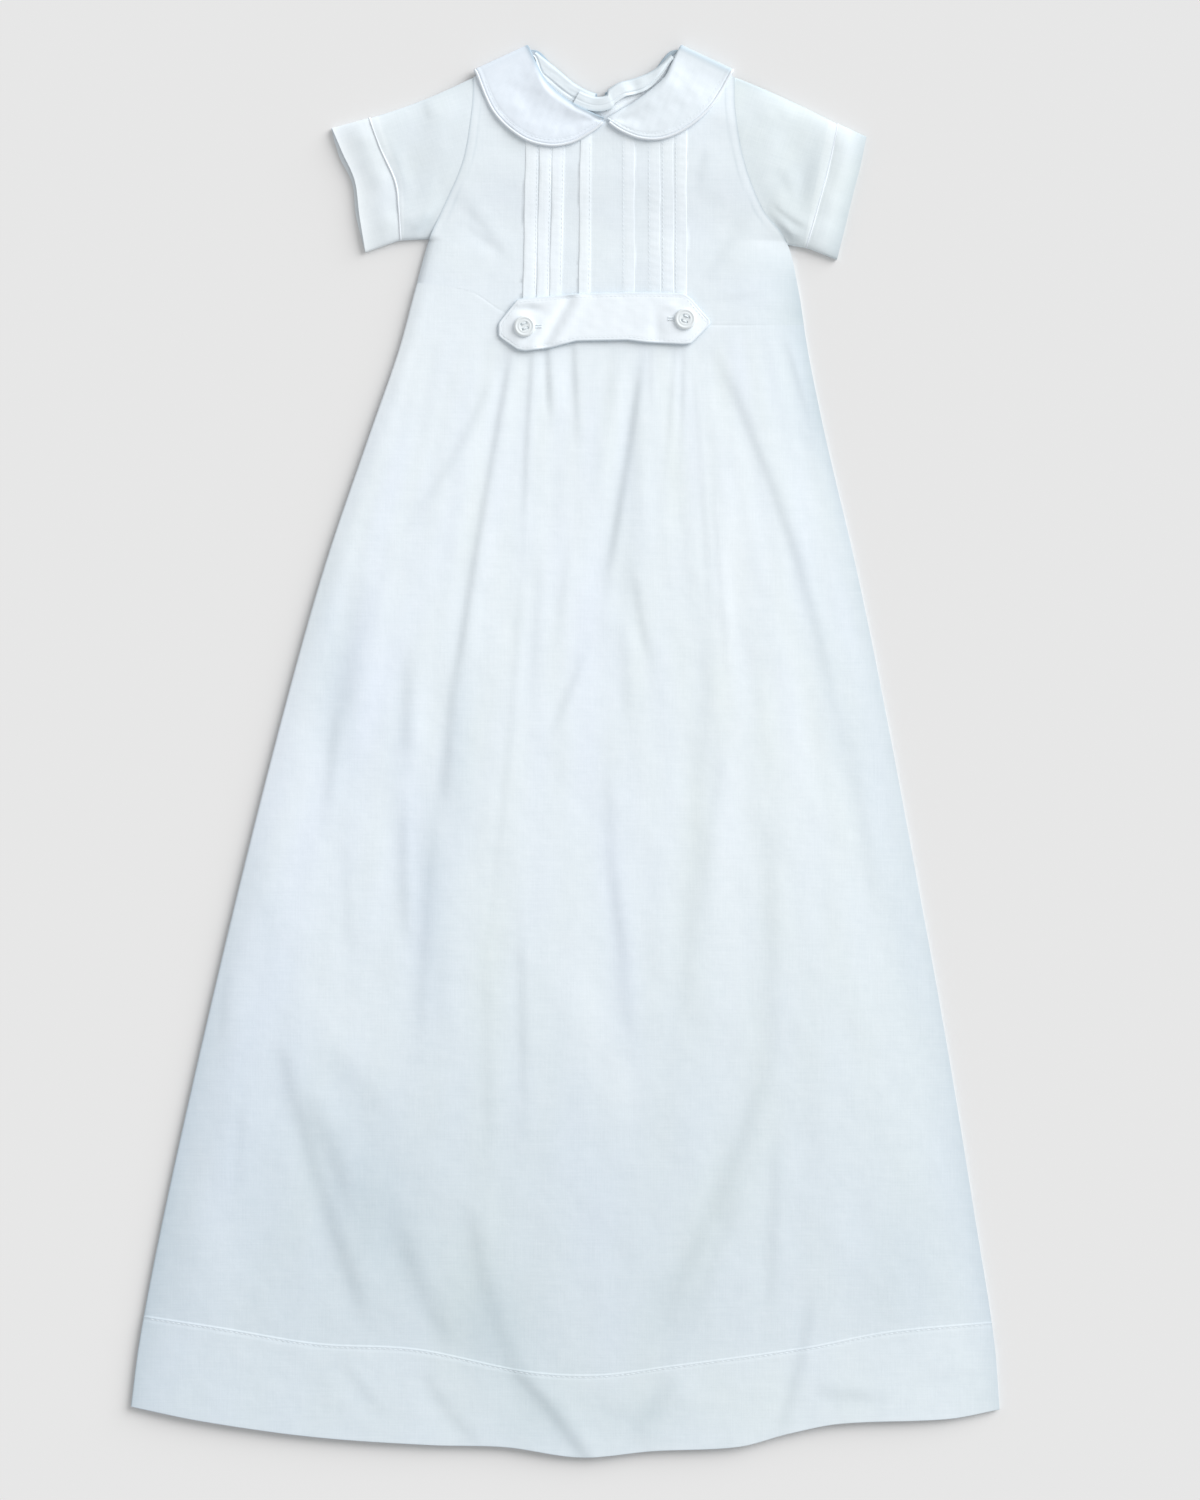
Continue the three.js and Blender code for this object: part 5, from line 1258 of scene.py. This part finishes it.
def buildNeckBand(side):
    # a strip down from the rolled neck edge: rounded over at the top, flat, and sewn down at its foot
    own = neckBands[side]
    laps = 0 if side == "left" else 1
    x = np.linspace(own["start"], own["end"], own["columns"])[:, None]
    slope = rollY(x + 0.5) - rollY(x - 0.5)
    long = np.hypot(1, slope)
    fromEnd = own["end"] - x if laps else x - own["start"]
    broad = ease(fromEnd / own["taper"])
    hidden = own["under"] * broad
    depth = mix(neckBands["tip"], neckBands["middle"], broad) + hidden
    onBlock = laps * ease((block["to"] - x) / 1.4)
    drop = block["drop"] * onBlock
    y = rollY(x) + laps * 1.2 * bell(x - 30, 6)
    foot = cloth["wall"] + cloth["seam"]
    base = floorLift(x, y) + laps * lapLift(x) + neckLift(x, y) + foot
    rows = np.concatenate([np.linspace(0, 0.9, 26), np.linspace(0.92, 1, 6)])[None, :]
    inward = mix(depth + block["extra"] * onBlock, drop, rows)
    fromFoot = depth - inward
    fromTop = inward - drop
    wrinkle = 0.10 * crumple(x, inward * 2, 7, 2) + 0.12 * np.sin(x * 0.6)
    sewn = (0.5 - 0.35 * onBlock) * bell(fromFoot - 0.9 - hidden, 0.5)
    flat = base + cloth["thin"] + 0.35 + wrinkle - sewn + block["rise"] * onBlock
    z = mix(foot, flat, dipRound(fromTop, 2.0))

    def down(distance, height):
        return points3(x + distance * slope / long, y - distance / long, height)

    deeper = np.maximum(inward, drop + cloth["thin"] * 1.1)
    inner = down(deeper, np.minimum(np.maximum(z - cloth["thin"], foot), z))
    # painted shade on the band's rounded top and at the foot of the block
    rimShade = own["paintedRimShade"] * bell(fromTop, 1.4) + 0.5 * onBlock * bell(fromFoot + 1.9, 1.2)
    pliesAndPaintedLight = neckBands["pliesAndPaintedLight"] - 0.04 * onBlock - rimShade
    name = "neckBand" + side.capitalize()
    return makeShell(name, "neck_band_" + side, down(inward, z), inner, crispCotton, pliesAndPaintedLight, 0.3)


neckBandLeft = buildNeckBand("left")
neckBandRight = buildNeckBand("right")

# Tab and buttons
tab = {
    "x": [-40.2, -39.6, -38.2, -28.6, -24.0, -8.4, 6.6, 37.6, 48.5, 71.0, 75.4, 85.2, 86.6, 87.0],
    "top": [254.2, 256.4, 258.4, 270.4, 271.2, 272.4, 273.8, 274.6, 274.6, 274.0, 271.0, 259.8,
            258.0, 257.4],
    "bottom": [251.4, 248.6, 246.8, 240.2, 239.2, 241.2, 245.2, 245.8, 244.4, 243.2, 243.6, 253.4,
               255.2, 256.0],
    "cornerX": (-26, 74),
    "droop": 1.0,
    "thick": 1.2,
    "pliesAndPaintedLight": 1.0,
    "stitchIn": 2.2,
    "folds": 1.25,
}
# height, x, y, width and length of the soft places on the tab
tabDents = {
    "above left button": (-0.8, -21, 264.5, 7, 3.2),
    "ring over it": (0.4, -24, 268, 10, 2.5),
    "right hollow": (-0.55, 55, 251, 4, 9),
    "arc at right": (0.3, 64, 266, 5, 3),
}
buttonPlaces = {"left": (-24.2, 254.2, 0.3), "right": (72.0, 258.6, -0.4)}
buttonShape = {"radius": 6.4, "underRadius": 6.0, "hole": 0.82, "spread": 1.55}


def tabUnder(x):
    # the tab lies on the bodice and the skirt, and droops at its ends
    droop = tab["droop"] * ease((np.abs(x - neck["middleX"]) - 50) / 14)
    return stack(1) + cloth["mostGap"] + 0.5 - droop


def tabFolds(x, y):
    # the pinch from the left button up to the top edge, dimples round the buttons, a soft hollow
    slant = (x - mix(-12.5, 3.5, (y - 243) / 30)) * 0.87
    pinch = 0.55 * bell(slant - 6.5, 4.0) - 0.75 * bell(slant, 3.2)
    pinch = pinch + 0.4 * bell(slant + 6.0, 3.0) * ease((262 - y) / 8)
    total = pinch * ease((18 - np.abs(y - 257)) / 6 + 0.4)
    for height, dentX, dentY, wide, long in tabDents.values():
        total = total + height * bell(x - dentX, wide) * bell(y - dentY, long)
    return total + 0.10 * crumple(x, y, 26, 9) + 0.05 * crumple(x, y, 9, 6)


def buildTab():
    # columns crowd towards both pointed ends, rows towards both edges
    first = tab["x"][0]
    last = tab["x"][-1]
    thick = tab["thick"]
    x = spread([first, *tab["cornerX"], last], [26, 110, 25])[:, None]
    v = np.concatenate([[0, 0.01, 0.025, 0.045], np.linspace(0.07, 0.93, 36), [0.955, 0.975, 0.99, 1]])
    top = np.interp(x, tab["x"], tab["top"])
    bottom = np.interp(x, tab["x"], tab["bottom"])
    y = mix(top, bottom, v)
    toEnd = np.minimum(x - first, last - x) * 0.9
    toEdge = np.minimum(np.minimum(v, 1 - v) * (top - bottom), toEnd)
    rounded = dipRound(toEdge, 1.0)
    stitched = 0.14 * bell(toEdge - tab["stitchIn"], 0.45) * ease((top - bottom) / 8)
    relief = tab["folds"] * tabFolds(x, y) * ease(toEdge / 2.5) - stitched
    outer = points3(x, y, tabUnder(x) + mix(0.5 * thick, thick, rounded) + relief)
    inner = points3(x, y, tabUnder(x) + mix(0.45 * thick, 0.0, rounded))
    # painted shade along the tab's rounded edges
    pliesAndPaintedLight = tab["pliesAndPaintedLight"] - 0.9 * bell(toEdge, 0.9)
    return makeShell("frontTab", "front_tab", outer, inner, crispCotton, pliesAndPaintedLight=pliesAndPaintedLight)


def buttonBase(x):
    # a button's underside, a little above the tab
    return tabUnder(x) + tab["thick"] + 0.2


def buttonHeight(r, turn):
    # profile across the disc: rounded edge, raised rim, shallow groove, dished middle with four holes
    profile = 0.75 + 0.75 * dipRound(buttonShape["radius"] - r, 1.0) + 0.24 * bell(r - 5.2, 0.6)
    profile = profile + 0.12 * bell(r - 3.45, 0.35) - 0.18 * ease((3.0 - r) / 1.4)
    offX = np.abs(r * np.cos(turn)) - buttonShape["spread"]
    offY = np.abs(r * np.sin(turn)) - buttonShape["spread"]
    return profile - 0.75 * ease((buttonShape["hole"] - np.hypot(offX, offY)) / 0.3)


def buildButton(side):
    # rings from the middle to the rim, turned a little, on a flat underside
    x, y, turned = buttonPlaces[side]
    r = np.concatenate([np.linspace(0.02, 3.2, 34), np.linspace(3.32, 6.0, 16), [6.15, 6.28, 6.36, 6.4]])
    turn = np.linspace(0, 2 * np.pi, 96, endpoint=False)[:, None]
    spin = turn + turned
    under = np.minimum(r, buttonShape["underRadius"])
    outer = points3(x + r * np.cos(spin), y + r * np.sin(spin), buttonBase(x) + buttonHeight(r, turn))
    inner = points3(x + under * np.cos(spin), y + under * np.sin(spin), buttonBase(x) + 0.01 * r)
    name = "button" + side.capitalize()
    return makeShell(name, "button_" + side, outer, inner, pearl, ring=True)


frontTab = buildTab()
for side in sides:
    buildButton(side)
print("gown: tab and buttons made")

# Sewing
stitches = {
    "seam": {"length": 1.9, "pitch": 2.6, "radius": 0.12},
    "hem": {"length": 2.2, "pitch": 3.2, "radius": 0.17},
    "buttonhole": {"length": 1.1, "pitch": 0.98, "radius": 0.2},
}
needlework = {
    "sink": 0.02,
    "hemX": (-249, 251),
    "hemDrop": 1.3,
    "tuckTop": 366,
    "tuckFoot": 276,
    "barRadius": 0.3,
    "slitStart": 5.6,
    "slitLength": 5.0,
    "slitPitch": 0.42,
}


def pathEvery(points, pitch):
    # points at equal steps along a line, with the line's direction at each
    total = np.concatenate([[0], np.cumsum(np.linalg.norm(np.diff(points, axis=0), axis=1))])
    at = np.arange(pitch / 2, total[-1], pitch)

    def point(distance):
        return np.stack([np.interp(distance, total, column) for column in points.T], axis=1)

    return point(at), unit(point(at + 0.3) - point(at - 0.3))


def stitchMesh(name, lines, length, pitch, radius):
    # short arched spindles, radius * sqrt(1 - s^2), laid end to end along each line
    places = [pathEvery(line, pitch) for line in lines]
    centre, forward = (np.concatenate(parts)[:, None, None] for parts in zip(*places))
    aside = unit(np.cross(upwards, forward))
    up = np.cross(forward, aside)
    s = np.array([-0.96, -0.6, 0.0, 0.6, 0.96])[:, None]
    turn = (np.arange(6) * np.pi / 3)[:, None, None]
    across = radius * np.sqrt(1 - s ** 2)
    arch = 0.6 * radius * (1 - s ** 2)
    points = centre + s * length / 2 * forward + across * np.cos(turn) * aside
    points = points + (across * np.sin(turn) + arch) * up
    caps = np.array([[25, 20, 15, 10], [25, 10, 5, 0], [4, 9, 14, 19], [4, 19, 24, 29]])
    one = np.concatenate([gridFaces(6, 5, ring=True), caps])
    faces = (one + 30 * np.arange(len(centre))[:, None, None]).reshape(-1, 4)
    return makeMesh(name, None, points.reshape(-1, 3), [faces], sewingThread)


def surfaceAt(piece, xs, ys, lift):
    # height of the made surface under each point, by a ray from above
    points = []
    for x, y in zip(xs, ys):
        hit, place, normal, index = piece.ray_cast((x * 0.001, y * 0.001, 0.05), (0, 0, -1))
        points.append((x, y, place.z * 1000 + lift if hit else 0.0))
    return np.array(points)


def hemRow():
    # just under the turned hem's upper edge
    x = np.linspace(*needlework["hemX"], 260)
    return surfaceAt(skirtFront, x, stitchY(x) - needlework["hemDrop"], needlework["sink"])


def collarRow(side):
    # along the front leaf, in from its outer edge
    u = np.linspace(0.02, 0.47, 160)
    edge = collarPoints(side, u, np.ones_like(u))[0]
    width = np.linalg.norm(edge - collarPoints(side, u, np.zeros_like(u))[0], axis=1)
    x, y, z = collarPoints(side, u, 1 - collar["stitchIn"] / np.maximum(width, 3.4))[0].T
    return surfaceAt(collars[side], x, y, needlework["sink"])


def tuckRow(k):
    # just inside a tuck's stitched side, from below the collar to above the waist
    v = np.linspace(0.06, 0.9, 60)
    way = np.sign(tucks["stitchTop"][k] - tucks["foldTop"][k])
    x = mix(tucks["stitchTop"][k], tucks["stitchWaist"][k], v) - 0.9 * way
    y = mix(shoulderTopY(x[:1]), 257.0, v)
    keep = (y < needlework["tuckTop"]) & (y > needlework["tuckFoot"])
    return surfaceAt(bodiceFront, x[keep], y[keep], needlework["sink"])


def tabRow():
    # round the tab, moved in from its outline
    loop = np.stack([tab["x"] + tab["x"][::-1], tab["top"] + tab["bottom"][::-1]], axis=1)
    steps = np.concatenate([[0], np.cumsum(np.linalg.norm(np.diff(loop, axis=0), axis=1))])
    at = np.linspace(0, steps[-1], 260)
    ring = np.stack([np.interp(at, steps, column) for column in loop.T], axis=1)
    tangent = unit(np.gradient(ring, axis=0))
    inward = np.stack([tangent[:, 1], -tangent[:, 0]], axis=1)
    inward = inward * np.sign(((loop.mean(axis=0) - ring) * inward).sum(1))[:, None]
    x, y = (ring + inward * tab["stitchIn"]).T
    return surfaceAt(frontTab, x, y, needlework["sink"])


def threadBar(side, sign):
    # a bar of thread that arches from hole to hole on one side of a button's middle
    x, y, turned = buttonPlaces[side]
    s = np.linspace(-1, 1, 9)
    along = s * buttonShape["spread"]
    across = sign * buttonShape["spread"]
    z = buttonBase(x) + 1.3 + 0.45 * (1 - s ** 2) - 0.7 * (np.abs(s) > 0.85)
    spunX = x + along * np.cos(turned) - across * np.sin(turned)
    spunY = y + along * np.sin(turned) + across * np.cos(turned)
    return points3(spunX, spunY, z)


def slitRows(side, way):
    # a slit of close bar stitches beside a button, towards the tab's middle
    x, y, turned = buttonPlaces[side]
    rows = []
    for offset in np.arange(0, needlework["slitLength"], needlework["slitPitch"]):
        for sign in (-1, 1):
            barX = np.full(2, x + way * (needlework["slitStart"] + offset))
            rows.append(surfaceAt(frontTab, barX, y + sign * np.array([0.25, 1.25]), 0.05))
    return rows


bpy.context.view_layer.update()
stitchMesh("hemSewing", [hemRow()], **stitches["hem"])
seamRows = [collarRow(side) for side in sides] + [tuckRow(k) for k in range(8)] + [tabRow()]
sewing = stitchMesh("sewing", seamRows, **stitches["seam"])
bars = [threadBar(side, sign) for side in sides for sign in (-1, 1)]
for n, bar in enumerate(bars):
    makeCord(f"buttonThread{n + 1}", None, bar, upwards, needlework["barRadius"], sewingThread, 8)
stitchMesh("buttonholes", slitRows("left", 1) + slitRows("right", -1), **stitches["buttonhole"])
print("gown: sewing made,", len(sewing.data.polygons), "faces")

# Surface, light and camera
studio = {
    "floorColour": (0.80, 0.80, 0.80, 1),
    "floorHalf": 4,
    "floorZ": -0.0003,
    "sunStrength": 3.225,
    "sunSoftness": 48,      # degrees
    "sunElevation": 26,
    "sunAzimuth": 38,       # from +X towards +Y
    "fill": 0.55,
    "cameraPlace": (0.021, 0.0006, 3.0),
    "cameraSees": 0.9,      # metres of the surface, along the picture's longer side
    "sensor": 36,
}
half = studio["floorHalf"]
corners = [(x, y, studio["floorZ"]) for x, y in ((-half, -half), (half, -half), (half, half), (-half, half))]
floorMesh = bpy.data.meshes.new("floorSurface")
floorMesh.from_pydata(corners, [], [(0, 1, 2, 3)])
floorPaper = bpy.data.materials.new("floorPaper")
floorPaper.use_nodes = True
floorShader = floorPaper.node_tree.nodes["Principled BSDF"]
floorShader.inputs["Base Color"].default_value = studio["floorColour"]
floorShader.inputs["Roughness"].default_value = 0.95
floorShader.inputs["Specular IOR Level"].default_value = 0.0
floorMesh.materials.append(floorPaper)
floor = bpy.data.objects.new("floorSurface", floorMesh)
bpy.context.collection.objects.link(floor)

sunLight = bpy.data.lights.new("windowLight", "SUN")
sunLight.energy = studio["sunStrength"]
sunLight.angle = np.radians(studio["sunSoftness"])
sun = bpy.data.objects.new("windowLight", sunLight)
sun.rotation_euler = (0, np.radians(90 - studio["sunElevation"]), np.radians(studio["sunAzimuth"]))
bpy.context.collection.objects.link(sun)
world = bpy.data.worlds.new("studioFill")
world.use_nodes = True
world.node_tree.nodes["Background"].inputs["Color"].default_value = (1.0, 1.0, 1.0, 1)
world.node_tree.nodes["Background"].inputs["Strength"].default_value = studio["fill"]
bpy.context.scene.world = world
bpy.context.scene.view_settings.view_transform = "Standard"

cameraData = bpy.data.cameras.new("camera")
cameraData.sensor_width = studio["sensor"]
cameraData.lens = studio["sensor"] * studio["cameraPlace"][2] / studio["cameraSees"]
camera = bpy.data.objects.new("camera", cameraData)
camera.location = studio["cameraPlace"]
bpy.context.collection.objects.link(camera)
bpy.context.scene.camera = camera
print("gown: stage set")
